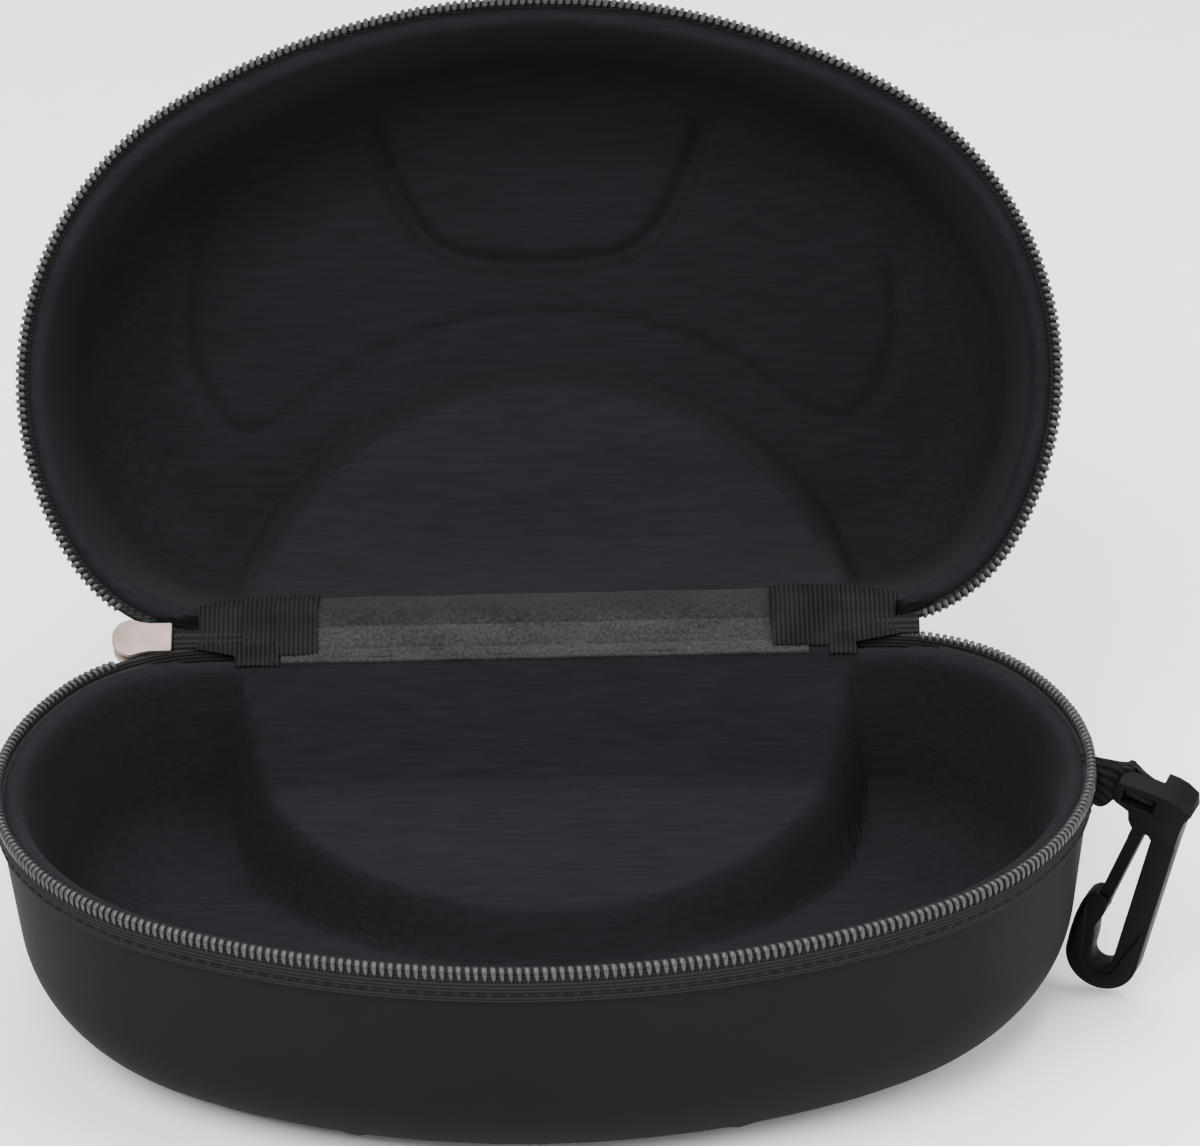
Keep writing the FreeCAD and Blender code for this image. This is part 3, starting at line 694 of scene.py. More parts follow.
tape_place = along_profile(TAPE_PROFILE, ZIP_START, ZIP_LENGTH)
base_tape = shaped_sheet("base_tape", 400, len(TAPE_PROFILE) - 1, tape_place, 0.2 * MM)
settle_pair(base_tape, ZIP_TAPE, "zip_tape", "zip_tape")
print("tape length on each rim", round(ZIP_LENGTH, 4))

# %% [markdown]
# A coil zip is one long spring of nylon. From outside each turn shows as a leg that stands up the edge, a
# round head on top and a second leg inside, half a pitch further on. One turn is a grid rolled into a bent
# tube with closed ends. It is then copied along the rim, and the lid's turns start half a pitch later so
# that they mesh.

# %% One turn of the coil
PITCH = 1.53 * MM
TURN_PATH = [
    (-0.10, 0.52, -2.7), (-0.06, 0.60, -1.5), (0.0, 0.60, -0.75), (0.05, 0.40, -0.28), (0.15, 0.0, -0.12),
    (0.30, -0.55, -0.30), (0.42, -0.8, -0.9), (0.5, -0.8, -2.4),
]
TURN_WIDTH = [0.0, 0.42, 0.46, 0.53, 0.56, 0.50, 0.42, 0.0]
TURN_SIDES = 6


def bent_tube(path, widths, beside=(1, 0.05, 0.02)):
    """Place function that rolls a grid round a path; a width of nothing closes an end."""
    points = np.array(path, float) * MM
    radii = np.array(widths, float) * MM
    ahead = np.gradient(points, axis=0)
    ahead /= np.linalg.norm(ahead, axis=1)[:, None]
    side = np.cross(ahead, np.array(beside, float))
    side /= np.linalg.norm(side, axis=1)[:, None]
    over = np.cross(ahead, side)

    def place(a, b):
        ring = np.rint(b * (len(points) - 1)).astype(int)
        angle = a * 2 * np.pi
        spread = side[ring] * np.cos(angle)[:, None] + over[ring] * np.sin(angle)[:, None]
        return points[ring] + spread * radii[ring][:, None]

    return place


coil_turn = shaped_sheet("coil_turn", TURN_SIDES, len(TURN_PATH) - 1, bent_tube(TURN_PATH, TURN_WIDTH))
print("faces in a turn", len(coil_turn.data.polygons))

# %% Copies along the rim
def along_rim(model, name, walked, inset, depth, sway=0.0):
    """Copy a small model to each walked length. Its x runs along the rim, y outwards and z up."""
    places = read_places(model)
    faces = [tuple(face.vertices) for face in model.data.polygons]
    x, v, out_x, out_v = rim_walk(walked)
    shake = random.Random(7)
    vertices = []
    for mid_x, mid_v, nx, nv in zip(x, v, out_x, out_v):
        lean = 1 + shake.uniform(-sway, sway)
        shift = shake.uniform(-sway, sway) * MM
        across = places[:, 0] + shift
        out = places[:, 1] * lean - inset
        spot_x = mid_x + nx * out - nv * across
        spot_v = mid_v + nv * out + nx * across
        vertices.append(np.stack([spot_x, HINGE.y - spot_v, HINGE.z - depth + places[:, 2]], axis=1))
    count = len(places)
    all_faces = [tuple(i + count * k for i in face) for k in range(len(vertices)) for face in faces]
    mesh = bpy.data.meshes.new(name)
    mesh.from_pydata(np.concatenate(vertices).tolist(), [], all_faces)
    mesh.update()
    piece = bpy.data.objects.new(name, mesh)
    bpy.context.scene.collection.objects.link(piece)
    edit(piece, face_outwards)
    smooth(piece, 60)
    return piece


SLIDER_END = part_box("slider_body")[0].x
CHAIN_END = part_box("zip_chain_right")[1].x


def corner_walk(distance):
    """Walked length at which the outline has reached this far from the middle, on a back corner."""
    return HALF_BACK + CORNER_RADIUS * math.asin((distance - HALF_BACK) / CORNER_RADIUS)


COIL_START = corner_walk(CHAIN_END)
COIL_STOP = 2 * HALF_ROUND - corner_walk(-SLIDER_END - 2 * MM)
turns = int((COIL_STOP - COIL_START) / PITCH)
COIL_INSET = 0.25 * MM
COIL_DEPTH = 0.45 * MM
base_turns = COIL_START + PITCH * np.arange(turns)
base_coil = along_rim(coil_turn, "base_coil", base_turns, COIL_INSET, COIL_DEPTH, 0.05)
lid_source = along_rim(coil_turn, "lid_coil_source", base_turns + PITCH / 2, COIL_INSET, COIL_DEPTH, 0.05)
lid_coil = lid_copy(lid_source, "lid_coil")
bpy.data.objects.remove(lid_source)
settle(base_coil, "base", NYLON, "zip_coil", "base_zip_coil")
settle(lid_coil, "lid", NYLON, "zip_coil", "lid_zip_coil")
print("coil turns on each rim", turns)

# %% [markdown]
# A row of lockstitch holds each tape to its shell. One stitch is a short thread, thickest in the middle,
# whose ends dive into the tape. It is copied along the rim with a gap at each needle hole.

# %% Stitching of the tapes
STITCH_PATH = [
    (-1.35, -0.30, 0), (-1.2, 0.0, 0), (-0.7, 0.17, 0), (0, 0.2, 0),
    (0.7, 0.17, 0), (1.2, 0.0, 0), (1.35, -0.30, 0),
]
STITCH_WIDTH = [0.0, 0.2, 0.25, 0.26, 0.25, 0.2, 0.0]
STITCH_PITCH = 3.1 * MM
STITCH_DEPTH = 5.5 * MM
STITCH_MARGIN = 3 * MM
stitch = shaped_sheet("stitch", 6, len(STITCH_PATH) - 1, bent_tube(STITCH_PATH, STITCH_WIDTH, (0, 0, 1)))
stitches = int((ZIP_LENGTH - 2 * STITCH_MARGIN) / STITCH_PITCH)
stitch_spots = ZIP_START + STITCH_MARGIN + STITCH_PITCH * np.arange(stitches)
base_stitches = along_rim(stitch, "base_tape_stitches", stitch_spots, 0.0, STITCH_DEPTH, 0.08)
settle_pair(base_stitches, THREAD, "thread", "zip_stitching")
print("stitches on each tape", stitches)

# %% [markdown]
# At the back a strip of fuzzy knit covers the gap between the shells from inside. It is sewn down along
# both edges, so it swells a little between its two seams and sinks at each seam. Its section is a chain of
# points across the hinge line, which a smooth curve passes through; the sheet is that section drawn out
# along the hinge.

# %% Inner hinge strip
def smooth_chain(points, share):
    """Place on a chain of (y, z) points at a share from 0 to 1, passing each point without a corner."""
    line = np.array(points, float)
    count = len(line) - 1
    step = np.clip(share * count, 0, count - 1e-9)
    index = step.astype(int)
    t = (step - index)[:, None]
    before = line[np.maximum(index - 1, 0)]
    here = line[index]
    there = line[index + 1]
    after = line[np.minimum(index + 2, count)]
    return 0.5 * (
        2 * here + (there - before) * t + (2 * before - 5 * here + 4 * there - after) * t**2
        + (3 * here - 3 * there + after - before) * t**3
    )


def across_hinge(points, start, end, ripple=None):
    """Place function of a sheet whose section crosses the hinge line, drawn out along x."""

    def place(a, b):
        x = (start + (end - start) * a) * MM
        section = smooth_chain(points, b) * MM
        if ripple:
            section = section + ripple(a, b)
        return np.stack([x, HINGE.y + section[:, 0], HINGE.z + section[:, 1]], axis=1)

    return place


STRIP_HALF = 53
STRIP_SECTION = [
    (-4.9, -3.3), (-5.5, -2.8), (-5.6, -2.2), (-4.9, -1.75), (-3.8, -1.25), (-2.9, -1.05), (-2.35, -1.25),
    (-1.9, -0.7), (-0.6, 0.5), (0.8, 1.3), (1.5, 1.6), (1.95, 1.55), (2.2, 2.1), (2.9, 3.2), (3.9, 4.05),
    (5.2, 4.4), (7.5, 4.45), (9.4, 4.4), (10.0, 3.6),
]


def nap(a, b):
    """The small unevenness of a hand-laid strip."""
    lift = 0.08 * np.sin(23 * a + 5 * b) + 0.05 * np.sin(61 * a - 9 * b)
    return np.stack([-0.5 * lift, 0.8 * lift], axis=1) * MM


strip_place = across_hinge(STRIP_SECTION, -STRIP_HALF, STRIP_HALF, nap)
inner_strip = shaped_sheet("inner_hinge_strip", 160, 60, strip_place, 0.8 * MM)
settle(inner_strip, None, HINGE_FABRIC, "hinge_fabric", "hinge_inner_strip")
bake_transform(inner_strip)

# %% [markdown]
# Outside, a wider band of the shell's own fabric bridges the same gap and takes most of the pull. It is
# sewn to both back walls, and it bellies inwards where it is free.

# %% Outer hinge band
def flat_chain(*points):
    return [((point.y - HINGE.y) / MM, (point.z - HINGE.z) / MM) for point in points]


BELLY = 3.5 * MM
outwards = Vector((0, math.cos(OPEN_ANGLE / 2), -math.sin(OPEN_ANGLE / 2)))
belly = outwards * BELLY + Vector((0, HINGE.y, HINGE.z))
BAND_HALF = [(1.75, 13.0), (1.02, 12.7), (0.75, 10.7), (0.45, 8.0), (0.25, 6.0), (-0.2, 4.6)]
on_base = [base_side(v * MM, depth * MM) for v, depth in BAND_HALF]
on_lid = [lid_side(v * MM, depth * MM) for v, depth in reversed(BAND_HALF)]
BAND_SECTION = flat_chain(*on_base, belly, *on_lid)
band_place = across_hinge(BAND_SECTION, -STRIP_HALF, STRIP_HALF)
outer_band = shaped_sheet("outer_hinge_band", 120, 72, band_place, 0.5 * MM, outward=False)
settle(outer_band, None, OUTER_FABRIC, "hinge_fabric", "hinge_outer_strip")
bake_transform(outer_band)

BAND_SEAM_HALF = 50.5
band_spots = np.arange(-BAND_SEAM_HALF, BAND_SEAM_HALF + 0.1, STITCH_PITCH / MM) * MM
base_band_stitches = along_rim(stitch, "base_band_stitches", band_spots, 0.12 * MM, 10.7 * MM, 0.08)
settle_pair(base_band_stitches, THREAD, "thread", "hinge_stitching")
print("hinge pieces made", inner_strip.name, outer_band.name)

# %% [markdown]
# A folded piece of ribbed ribbon finishes each end of the strip and ties it to the zip. The ribs are large
# enough to see, so they are modelled: each rib is a few rows of the grid, lifted by a cosine. The loose
# edge of the ribbon is a little skewed, as it was folded by hand.

# %% Ribbon tabs over the strip's ends
TAB_SECTION = [
    (-4.1, -2.4), (-4.2, -1.5), (-3.2, -0.55), (-1.6, 0.65), (0.2, 1.7), (1.6, 2.7), (2.6, 3.9), (3.8, 4.85),
    (5.4, 5.15), (7.6, 5.1), (9.6, 4.9), (10.2, 4.0),
]
RIB = 1.0


def ribbon_fold(name, start, end, node, lower=0.0, narrow=(1.0, 1.0), height=0.16, section=None):
    """One fold of ribbed ribbon from start to end. It lies lower than the tab by "lower" and may narrow."""
    place = across_hinge(section or TAB_SECTION, start, end)
    ribs = round(abs(end - start) / RIB)

    def folded(a, b):
        width = narrow[0] + (narrow[1] - narrow[0]) * a
        points = place(a, 0.5 + (b - 0.5) * width)
        lift = height * np.cos(2 * np.pi * ribs * a) + 0.3 * np.sin(np.pi * a) ** 0.5 - lower
        lift = lift + 0.12 * np.sin(7 * b + 3 * a)
        points[:, 0] += 0.25 * MM * np.sin(5 * b + start)
        points[:, 1] -= 0.5 * lift * MM
        points[:, 2] += 0.8 * lift * MM
        return points

    tab = shaped_sheet(name, ribs * 8, 36, folded, 0.4 * MM)
    settle(tab, None, GROSGRAIN, "grosgrain", node)
    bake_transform(tab)


ribbon_fold("left_ribbon_tab", -54.2, -45.6, "end_tab_left")
ribbon_fold("left_ribbon_middle", -61.0, -53.4, "end_tab_left", 0.45, (0.80, 0.92), 0.12)
ribbon_fold("left_ribbon_end", -70.0, -60.0, "end_tab_left", 0.8, (0.55, 0.80), 0.08)
ribbon_fold("right_ribbon_tab", 45.6, 60.0, "end_tab_right")
ribbon_fold("right_ribbon_end", 59.0, 71.0, "end_tab_right", 0.6, (0.80, 0.55), 0.08)

# %% [markdown]
# Beside each tab the ribbon is folded under itself once more, towards the base. These smaller folds lie
# lower, and show only their ribbed edge.

# %% Lower folds of the ribbon
LOW_SECTION = [(-5.4, -3.4), (-6.0, -2.7), (-5.5, -1.8), (-4.4, -1.1), (-3.0, -0.3), (-1.6, 0.4)]
ribbon_fold("left_ribbon_fold", -62.2, -53.4, "end_tab_left", 0.3, (0.8, 1.0), 0.14, LOW_SECTION)
ribbon_fold("right_ribbon_fold", 57.0, 62.5, "end_tab_right", 0.3, (1.0, 0.9), 0.14, LOW_SECTION)
print("ribbon tabs made")

# %% [markdown]
# Between the tab and the slider the zip is closed: the two tapes lie edge to edge with the meshed coil
# between them. From inside one sees a narrow ribbed cord; from outside the two rows of turns. The ribbed
# side is a sheet with ribs, and the turns are copies of the same coil turn, laid along a straight line.

# %% The meshed ends of the zip
HALFWAY = ABOUT_HINGE @ Matrix.Rotation(math.pi / 2 - OPEN_ANGLE / 2, 4, "X")


def joined(name, *pieces):
    clear_selection()
    for piece in pieces:
        piece.select_set(True)
    bpy.context.view_layer.objects.active = pieces[0]
    bpy.ops.object.join()
    whole = bpy.context.object
    whole.name = name
    return whole


CORD_HALF_WIDE = 2.3
CORD_HALF_THICK = 0.75
RIB_LIFT = 0.16
CORD_SLACK = 0.35


def closed_zip(name, start, end, node):
    """The ribbed cord of the two folded tapes, with both rows of coil turns on its outside."""
    length = end - start
    turn_pitch = PITCH / MM

    def place(a, b):
        x = start + length * a
        around = 2 * np.pi * b
        rib = RIB_LIFT * np.cos(2 * np.pi * a * round(length / RIB))
        slack = CORD_SLACK * np.sin(a * 9)
        y = (CORD_HALF_WIDE + rib) * np.cos(around) + slack
        z = (CORD_HALF_THICK + rib) * np.sin(around) + 0.15
        return np.stack([x, y, z], axis=1) * MM

    cord = shaped_sheet(name + "_cord", round(length / RIB) * 7, 22, place)
    edit(cord, lambda: bpy.ops.mesh.region_to_loop(), bpy.ops.mesh.edge_face_add)
    pieces = [cord]
    for step in range(int(length / turn_pitch)):
        for side in (1, -1):
            x = start + (step + 0.5 + side * 0.25) * PITCH / MM
            spin = Matrix.Rotation(math.pi, 4, "X") @ Matrix.Rotation(side * math.pi / 2, 4, "X")
            spot = Matrix.Translation(Vector((x, side * 0.35, -0.9)) * MM)
            pieces.append(copy_of(coil_turn, spot @ spin))
    chain = joined(name, *pieces)
    chain.data.transform(HALFWAY)
    edit(chain, face_outwards)
    smooth(chain, 50)
    settle(chain, "zip_ends", ZIP_TAPE, "zip_tape", node)


closed_zip("right_closed_zip", 50.5, 75.5, "zip_chain_right")
closed_zip("left_closed_zip", -75.5, -50.5, "zip_chain_left")
print("closed zip ends made")

# %% [markdown]
# Hard pieces with a flat outline start as a filled circle, whose corners are moved onto the outline. The
# face is extruded to the piece's thickness, and a bevel rounds the edges, as a mould or a stamping die
# would.

# %% Plates from an outline
def plate(name, outline, thickness, plane="XZ"):
    """A flat piece centred on its plane, from a closed chain of points in millimetres."""
    clear_selection()
    bpy.ops.mesh.primitive_circle_add(vertices=len(outline), radius=1, fill_type="NGON")
    piece = bpy.context.object
    piece.name = name
    flat = np.array(outline, float) * MM
    low = np.full(len(flat), -thickness / 2 * MM)
    if plane == "XZ":
        write_places(piece, np.stack([flat[:, 0], low, flat[:, 1]], axis=1))
        rise = (0, thickness * MM, 0)
    else:
        write_places(piece, np.stack([flat[:, 0], flat[:, 1], low], axis=1))
        rise = (0, 0, thickness * MM)

    def raise_face():
        bpy.ops.mesh.extrude_region_move(TRANSFORM_OT_translate={"value": rise})

    edit(piece, raise_face, face_outwards)
    return piece


def arc(centre, radius, start, end, steps):
    angles = np.radians(np.linspace(start, end, steps + 1))
    return [(centre[0] + radius * math.cos(t), centre[1] + radius * math.sin(t)) for t in angles]


def round_edges(piece, width, segments=3, angle=35):
    limit = math.radians(angle)
    use_modifier(piece, "BEVEL", width=width * MM, segments=segments, limit_method="ANGLE", angle_limit=limit)
    edit(piece, face_outwards)
    smooth(piece, 35)


def block(size, place):
    """A block of a given size about a middle, in millimetres."""
    clear_selection()
    bpy.ops.mesh.primitive_cube_add(size=1)
    made = bpy.context.object
    scale = Matrix.Diagonal((*(Vector(size) * MM), 1))
    made.data.transform(Matrix.Translation(Vector(place) * MM) @ scale)
    return made


def take_out(piece, cutter):
    use_modifier(piece, "BOOLEAN", operation="DIFFERENCE", object=cutter, solver="EXACT")
    bpy.data.objects.remove(cutter)


def cut_out(piece, size, place):
    take_out(piece, block(size, place))


def drum(name, radius, length, place, axis="X", sides=32):
    """A short round bar along an axis, in millimetres."""
    clear_selection()
    bpy.ops.mesh.primitive_cylinder_add(vertices=sides, radius=radius * MM, depth=length * MM)
    bar = bpy.context.object
    bar.name = name
    turn = Matrix.Rotation(math.pi / 2, 4, "Y" if axis == "X" else "X")
    bar.data.transform(Matrix.Translation(Vector(place) * MM) @ turn)
    return bar


# %% [markdown]
# The slider is two plates joined by a wedge at the wide end. Its shoulders are wide where the open zip
# enters and its tail is narrow where the closed zip leaves. The outer plate carries a small bail for the
# puller. Both plates are stamped, so their edges are soft and their faces crowned.

# %% Slider
SLIDER = 12.0
FRONT = round(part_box("slider_body")[0].x / MM, 2)
BACK = FRONT + SLIDER
WAIST = FRONT + 0.45 * SLIDER
SHOULDER = 4.2
TAIL = 3.3
PLATE_RISE = 1.8
PLATE_HALF = [
    (BACK, TAIL - 0.3), (BACK - 0.3, TAIL), (WAIST + 2.2, TAIL), (WAIST + 0.2, TAIL + 0.35),
    (WAIST - 1.4, SHOULDER), (FRONT + 3.2, SHOULDER), (FRONT + 1.4, SHOULDER - 0.8),
    (FRONT + 0.3, SHOULDER - 2.2), (FRONT, 0.9),
]
PLATE_OUTLINE = PLATE_HALF + [(x, -y) for x, y in reversed(PLATE_HALF)]
slider_parts = []
for side in (1, -1):
    half = plate("slider_plate", PLATE_OUTLINE, 0.9, "XY")
    half.data.transform(Matrix.Translation((0, 0, side * PLATE_RISE * MM)))
    round_edges(half, 0.32, 3)
    slider_parts.append(half)
GAP = 3.2
WEDGE_OUTLINE = [(FRONT + 1, -0.8), (FRONT + 4.6, -0.3), (FRONT + 4.6, 0.3), (FRONT + 1, 0.8)]
slider_parts.append(plate("slider_wedge", WEDGE_OUTLINE, GAP, "XY"))
for side in (1, -1):
    slider_parts.append(block((4.2, 0.5, GAP), (BACK - 2.3, side * (TAIL - 0.3), 0)))
MIDDLE = (FRONT + BACK) / 2
BAIL_HALF = [(2.35, -1.9), (2.35, -2.2), (2.35, -3.7), (1.9, -4.7), (0.9, -5.1)]
BAIL_PATH = [(MIDDLE - x, 0, z) for x, z in BAIL_HALF] + [(MIDDLE + x, 0, z) for x, z in reversed(BAIL_HALF)]
BAIL_WIDTH = [0] + [0.64] * 8 + [0]
bail_place = bent_tube(BAIL_PATH, BAIL_WIDTH, (0, 1, 0))
slider_parts.append(shaped_sheet("slider_bail", 16, len(BAIL_PATH) - 1, bail_place))
slider = joined("zip_slider", *slider_parts)
slider.data.transform(HALFWAY)
settle(slider, "slider", NICKEL, "nickel", "slider_body")

# %% [markdown]
# The puller is a flat tongue with a hole near its end, a sunken middle and two arms that hold a pin under
# the bail. It hangs outside the case, on the side away from the lining.

# %% Puller
PIVOT_Z = -3.35
PULLER = 24.0
HALF_WIDE = 2.6
PULLER_OUTLINE = (
    [(-HALF_WIDE, PIVOT_Z + 0.7), (-HALF_WIDE, PIVOT_Z - PULLER + 2.2)]
    + arc((0, PIVOT_Z - PULLER + 2.6), 2.6, 190, 350, 10)
    + [(HALF_WIDE, PIVOT_Z - PULLER + 2.2), (HALF_WIDE, PIVOT_Z + 0.7)]
)
tongue = plate("puller_tongue", PULLER_OUTLINE, 1.3)
cut_out(tongue, (2.3, 4, 3.6), (0, 0, PIVOT_Z - 2.6))
take_out(tongue, drum("hole_cutter", 1.1, 6, (0, 0, PIVOT_Z - PULLER + 4), "Y"))
for face in (1, -1):
    cut_out(tongue, (3.0, 0.5, PULLER - 14), (0, face * 0.6, PIVOT_Z - 12))
round_edges(tongue, 0.22, 2)
pin = drum("puller_pin", 0.62, 3.2, (0, 0, PIVOT_Z), "X")
puller = joined("zip_puller", tongue, pin)
under_bail = Matrix.Translation((MIDDLE * MM, 0, 0)) @ Matrix.Rotation(math.pi / 2, 4, "Z")
puller.data.transform(HALFWAY @ under_bail)
smooth(puller, 35)
settle(puller, "puller", NICKEL, "nickel", "slider_puller")
print("slider and puller made")

# %% [markdown]
# A plastic snap hook hangs from the right side. It is drawn flat and upright about its crossbar, then hung:
# tilted outwards and turned a little away. Its frame is one outline, head, stem, bend and nose, extruded
# and bevelled.

# %% Hook frame
HOOK_AT = Vector(joints["hook_swing"]["pos_m"])
HOOK_TILT = math.radians(13.5)
HOOK_YAW = math.radians(24)
HUNG = Matrix.Translation(HOOK_AT) @ Matrix.Rotation(-HOOK_YAW, 4, "Z") @ Matrix.Rotation(HOOK_TILT, 4, "Y")
BEND = (-1.5, -37.0)
BEND_OUT = 7.2
BEND_IN = 2.3
STEM_IN = BEND[0] + BEND_IN
STEM_OUT = BEND[0] + BEND_OUT
STEM_OUTLINE = (
    [(STEM_IN, -5.2), (STEM_OUT, -5.2), (STEM_OUT, -20), (STEM_OUT, -31)]
    + arc(BEND, BEND_OUT, 0, -180, 24)
    + [(-8.85, -33.4), (-8.75, -30.2), (-8.4, -27.4), (-7.7, -25.2), (-6.6, -24.1), (-5.0, -23.7)]
    + [(-3.9, -24.1), (-3.4, -25.4), (-3.4, -27.6), (-3.9, -29.4), (-4.4, -31.0), (-4.1, -32.8)]
    + [(-3.85, -34.8)]
    + arc(BEND, BEND_IN, 180, 360, 14)
    + [(STEM_IN, -30), (STEM_IN, -20)]
)
stem = plate("hook_stem", STEM_OUTLINE, 5.0)
cut_out(stem, (4.4, 3.9, 8.4), (-3.3, 0, -24.3))
round_edges(stem, 0.9, 4)

# %% [markdown]
# The head's top is a flat that slopes to the front, its right end is chamfered and its lower left corner
# stepped. A long eye goes through it for the webbing, and the crossbar runs through the eye from cheek to
# cheek. Behind the sloping top the head is open, which lets the webbing leave upwards when the hook swings.

# %% Hook head
HEAD_OUTLINE = [
    (-8.6, -2.0), (-8.9, 1.4), (-8.2, 3.0), (-2.0, 3.4), (2.0, 3.4), (3.9, 3.0),
    (6.2, 1.9), (6.9, 0.7), (6.0, -1.2), (5.75, -3.2), (5.65, -7.6), (0.8, -7.6),
    (0.2, -6.9), (-3.4, -6.5), (-4.4, -5.2), (-4.9, -3.4), (-7.6, -2.6),
]
TOP_SLOPE = 0.36
head = plate("hook_head", HEAD_OUTLINE, 6.0)
places = read_places(head)
places[:, 2] += np.where(places[:, 2] > 1.0 * MM, TOP_SLOPE * places[:, 1], 0.0)
write_places(head, places)
cut_out(head, (6.6, 9, 2.8), (-3.6, 0, -0.6))
cut_out(head, (6.6, 3.4, 5.0), (-3.6, 2.3, 2.0))
cut_out(head, (4.4, 3.9, 6.0), (-2.3, 0, -7.4))
round_edges(head, 0.4, 3)
bar = drum("hook_crossbar", 1.2, 15.0, (-1.0, 0, 0), "X", 28)
pins = drum("hook_gate_pin", 0.8, 5.6, (-2.0, 0, -5.9), "Y", 16)

# %% [markdown]
# Both faces of the bend carry a raised band, which follows its outside and stiffens it where the load
# pulls.

# %% Raised bands of the bend
BAND_OUTLINE = (
    [(4.9, -27.5), (5.0, -31)]
    + arc(BEND, BEND_OUT - 0.7, 0, -180, 18)
    + [(-8.1, -33.2), (-8.0, -30.2), (-7.7, -27.6), (-7.2, -26.2), (-6.5, -29.0), (-5.9, -32.0)]
    + [(-5.5, -34.6)]
    + arc(BEND, 3.6, 190, 318, 12)
    + [(2.6, -34.2), (3.9, -30.5)]
)
bands = []
for face in (1, -1):
    band = plate("hook_band", BAND_OUTLINE, 1.1)
    band.data.transform(Matrix.Translation((0, face * 2.35 * MM, 0)))
    round_edges(band, 0.42, 3)
    bands.append(band)
hook = joined("snap_hook_frame", stem, head, bar, pins, *bands)
hook.data.transform(HUNG)
smooth(hook, 35)
settle(hook, "hook", HOOK_PLASTIC, "hook_plastic", "hook_frame")

# %% [markdown]
# The gate is a thin springy tongue that closes the mouth of the hook. Its outer edge has fine grip ridges,
# which are simply steps in its outline, so the bevel rounds each one.

# %% Hook gate
GATE_AT = Vector((-2.0, 0, -6.3))
GATE_LEAN = math.radians(7.5)
REACH = 22.0
ridges = []
RIDGES = 26
RIDGE_PITCH = 0.62
for step in range(RIDGES):
    z = -3.4 - step * RIDGE_PITCH
    ridges += [(-1.3, z), (-1.12, z - RIDGE_PITCH / 2)]
GATE_END = [(-1.25, -REACH + 0.4), (-0.9, -REACH), (0.9, -REACH), (1.15, -REACH + 0.4)]
GATE_OUTLINE = arc((0, 0), 1.3, 0, 180, 10) + ridges + GATE_END
gate = plate("snap_hook_gate", GATE_OUTLINE, 3.2)
round_edges(gate, 0.12, 1, 20)
pivoted = Matrix.Translation(GATE_AT * MM) @ Matrix.Rotation(GATE_LEAN, 4, "Y")
gate.data.transform(HUNG @ pivoted)
smooth(gate, 30)
settle(gate, "gate", HOOK_PLASTIC, "hook_plastic", "hook_gate")
print("hook made, head at", [round(v, 4) for v in HOOK_AT])

# %% [markdown]
# The webbing comes out from under the zip, folds over itself and narrows to a loop round the crossbar. Its
# path is a chain of middles and half widths. The sheet runs from one edge to the other across each, and a
# second, shorter sheet is the layer that was folded over.

# %% Webbing strap
TO_WORLD = HUNG.to_3x3()


def in_hook(x, y, z):
    return (HOOK_AT + TO_WORLD @ (Vector((x, y, z)) * MM)) / MM


def hook_way(x, y, z):
    return TO_WORLD @ Vector((x, y, z))


STRAP_CHAIN = [
    (Vector((102.9, 9.4, 44.6)), Vector((0, 4.4, 2.0))),
    (Vector((105.0, 8.8, 44.6)), Vector((0.2, 3.2, 3.4))),
    (Vector((107.0, 7.4, 45.0)), Vector((0.3, 1.6, 4.2))),
    (in_hook(-9.4, 2.2, -0.2), hook_way(0, -0.8, 4.0)),
    (in_hook(-7.2, 3.7, 0.9), hook_way(0, -0.8, 2.9)),
    (in_hook(-4.6, 3.0, 1.8), hook_way(0, -1.2, 1.6)),
    (in_hook(-2.0, 2.2, 1.8), hook_way(0, -1.1, 1.2)),
]


def strap_place(lift=0.0, first=0.0, last=1.0, shear=0.0):
    middles = np.array([tuple(middle) for middle, _ in STRAP_CHAIN])
    halves = np.array([tuple(half) for _, half in STRAP_CHAIN])

    def place(a, b):
        share = np.clip(first + (last - first) * b + shear * (a - 0.5), 0, 1)
        middle = smooth_chain(middles, share)
        half = smooth_chain(halves, share)
        after = smooth_chain(middles, np.minimum(share + 0.01, 1))
        before = smooth_chain(middles, np.maximum(share - 0.01, 0))
        normal = np.cross(after - before, half)
        normal /= np.linalg.norm(normal, axis=1)[:, None]
        side = (2 * a - 1)[:, None]
        bow = 0.35 * np.cos(np.pi * (a - 0.5))[:, None]
        return (middle + half * side + normal * (lift + bow)) * MM

    return place


tail = shaped_sheet("strap_tail", 18, 60, strap_place(), 1.0 * MM)
fold = shaped_sheet("strap_fold", 14, 36, strap_place(1.0, 0.0, 0.62, 0.16), 0.9 * MM)


LOOP_RADIUS = 1.9
LOOP_START = -6.5
LOOP_WIDTH = 5.8


def loop_place(a, b):
    around = 2 * np.pi * a
    x = LOOP_START + LOOP_WIDTH * b
    return np.stack([x, LOOP_RADIUS * np.cos(around), LOOP_RADIUS * np.sin(around)], axis=1) * MM


loop = shaped_sheet("strap_loop", 40, 12, loop_place, 0.55 * MM)
loop.data.transform(HUNG)
strap = joined("webbing_strap", tail, fold, loop)
edit(strap, face_outwards)
smooth(strap, 50)
settle(strap, "base", WEBBING, "webbing", "hook_strap")
for model in (coil_turn, stitch):
    bpy.data.objects.remove(model)
print("strap made")
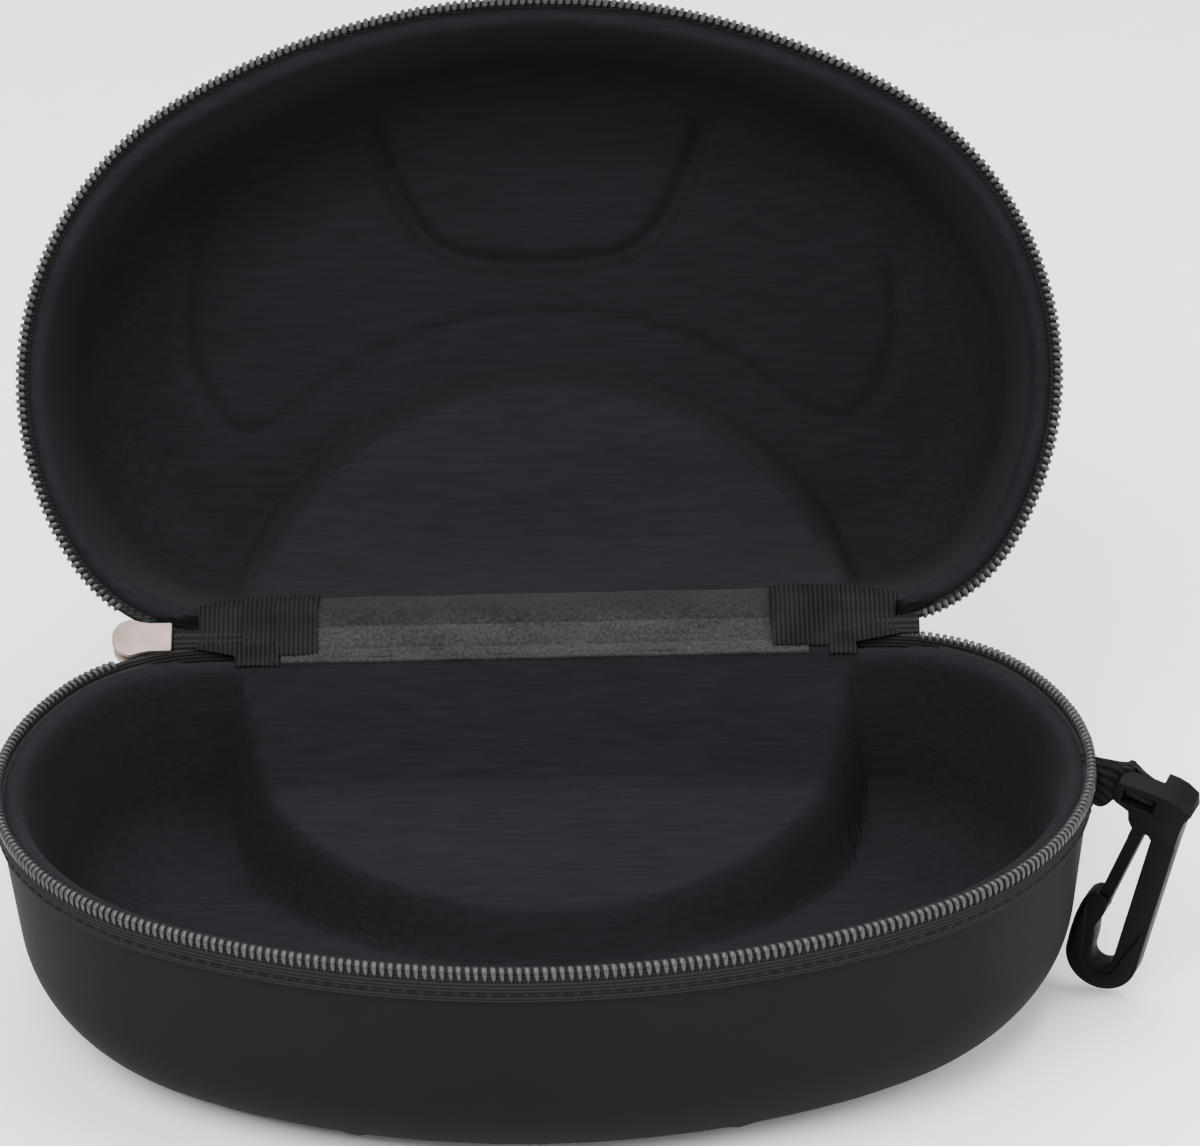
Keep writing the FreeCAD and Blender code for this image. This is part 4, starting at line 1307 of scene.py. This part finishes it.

# %% [markdown]


# %% [markdown]
# The case stands on a white studio table. Two large soft lights hang in front and above, a third fills from
# the left, and the bright surroundings keep the shadow faint.

# %% Studio
def floor_finish():
    finish = Finish("studio_floor", Specular_IOR_Level=0.1)
    speck = finish.noise(finish.places(), 90, 4)
    return finish.feed(finish.blend(speck, grey(0.86), grey(0.9)), speck * 0.1 + 0.8)


clear_selection()
bpy.ops.mesh.primitive_plane_add(size=14, location=(0, 0, -0.0004))
floor = bpy.context.object
floor.name = "studio_floor"
floor.data.materials.append(floor_finish())


def soft_light(name, place, target, size, power):
    bpy.ops.object.light_add(type="AREA", location=place)
    light = bpy.context.object
    light.name = name
    light.data.shape = "RECTANGLE"
    light.data.size, light.data.size_y = size
    light.data.energy = power
    light.rotation_mode = "QUATERNION"
    light.rotation_quaternion = (Vector(target) - Vector(place)).to_track_quat("-Z", "Y")
    return light


CENTRE = (0.0, 0.03, 0.06)
ROOM_BRIGHTNESS = 1.2
lights = [
    soft_light("key_light", (-0.35, -0.75, 1.05), CENTRE, (0.9, 0.7), 29),
    soft_light("top_light", (0.15, 0.25, 1.25), CENTRE, (1.1, 0.8), 21),
    soft_light("side_light", (1.05, -0.35, 0.6), CENTRE, (0.6, 0.8), 10),
]
world = bpy.data.worlds.new("bright_room")
world.use_nodes = True
room = world.node_tree.nodes["Background"].inputs
room["Color"].default_value = (1, 1, 1, 1)
room["Strength"].default_value = ROOM_BRIGHTNESS
bpy.context.scene.world = world

# %% [markdown]
# The camera looks down at the open case from the front, through a long lens, with a slight roll.

# %% Camera
AZIMUTH = math.radians(0.344)
ELEVATION = math.radians(26.677)
ROLL = math.radians(-1.401)
LENS = 138.42
CAMERA_AT = Vector((0.0164, -0.7612, 0.4781))
ahead = Vector((-math.sin(AZIMUTH), math.cos(AZIMUTH), 0))
look = ahead * math.cos(ELEVATION) - Vector((0, 0, math.sin(ELEVATION)))
level = look.cross(Vector((0, 0, 1))).normalized()
above = level.cross(look)
right = level * math.cos(ROLL) + above * math.sin(ROLL)
up = above * math.cos(ROLL) - level * math.sin(ROLL)
camera_data = bpy.data.cameras.new("front_camera")
camera_data.lens = LENS
camera_data.sensor_width = 36
camera_data.clip_start = 0.05
camera = bpy.data.objects.new("front_camera", camera_data)
bpy.context.scene.collection.objects.link(camera)
turn = Matrix((right, up, -look)).transposed()
camera.matrix_world = Matrix.Translation(CAMERA_AT) @ turn.to_4x4()
bpy.context.scene.camera = camera
print("camera at", [round(v, 4) for v in CAMERA_AT])
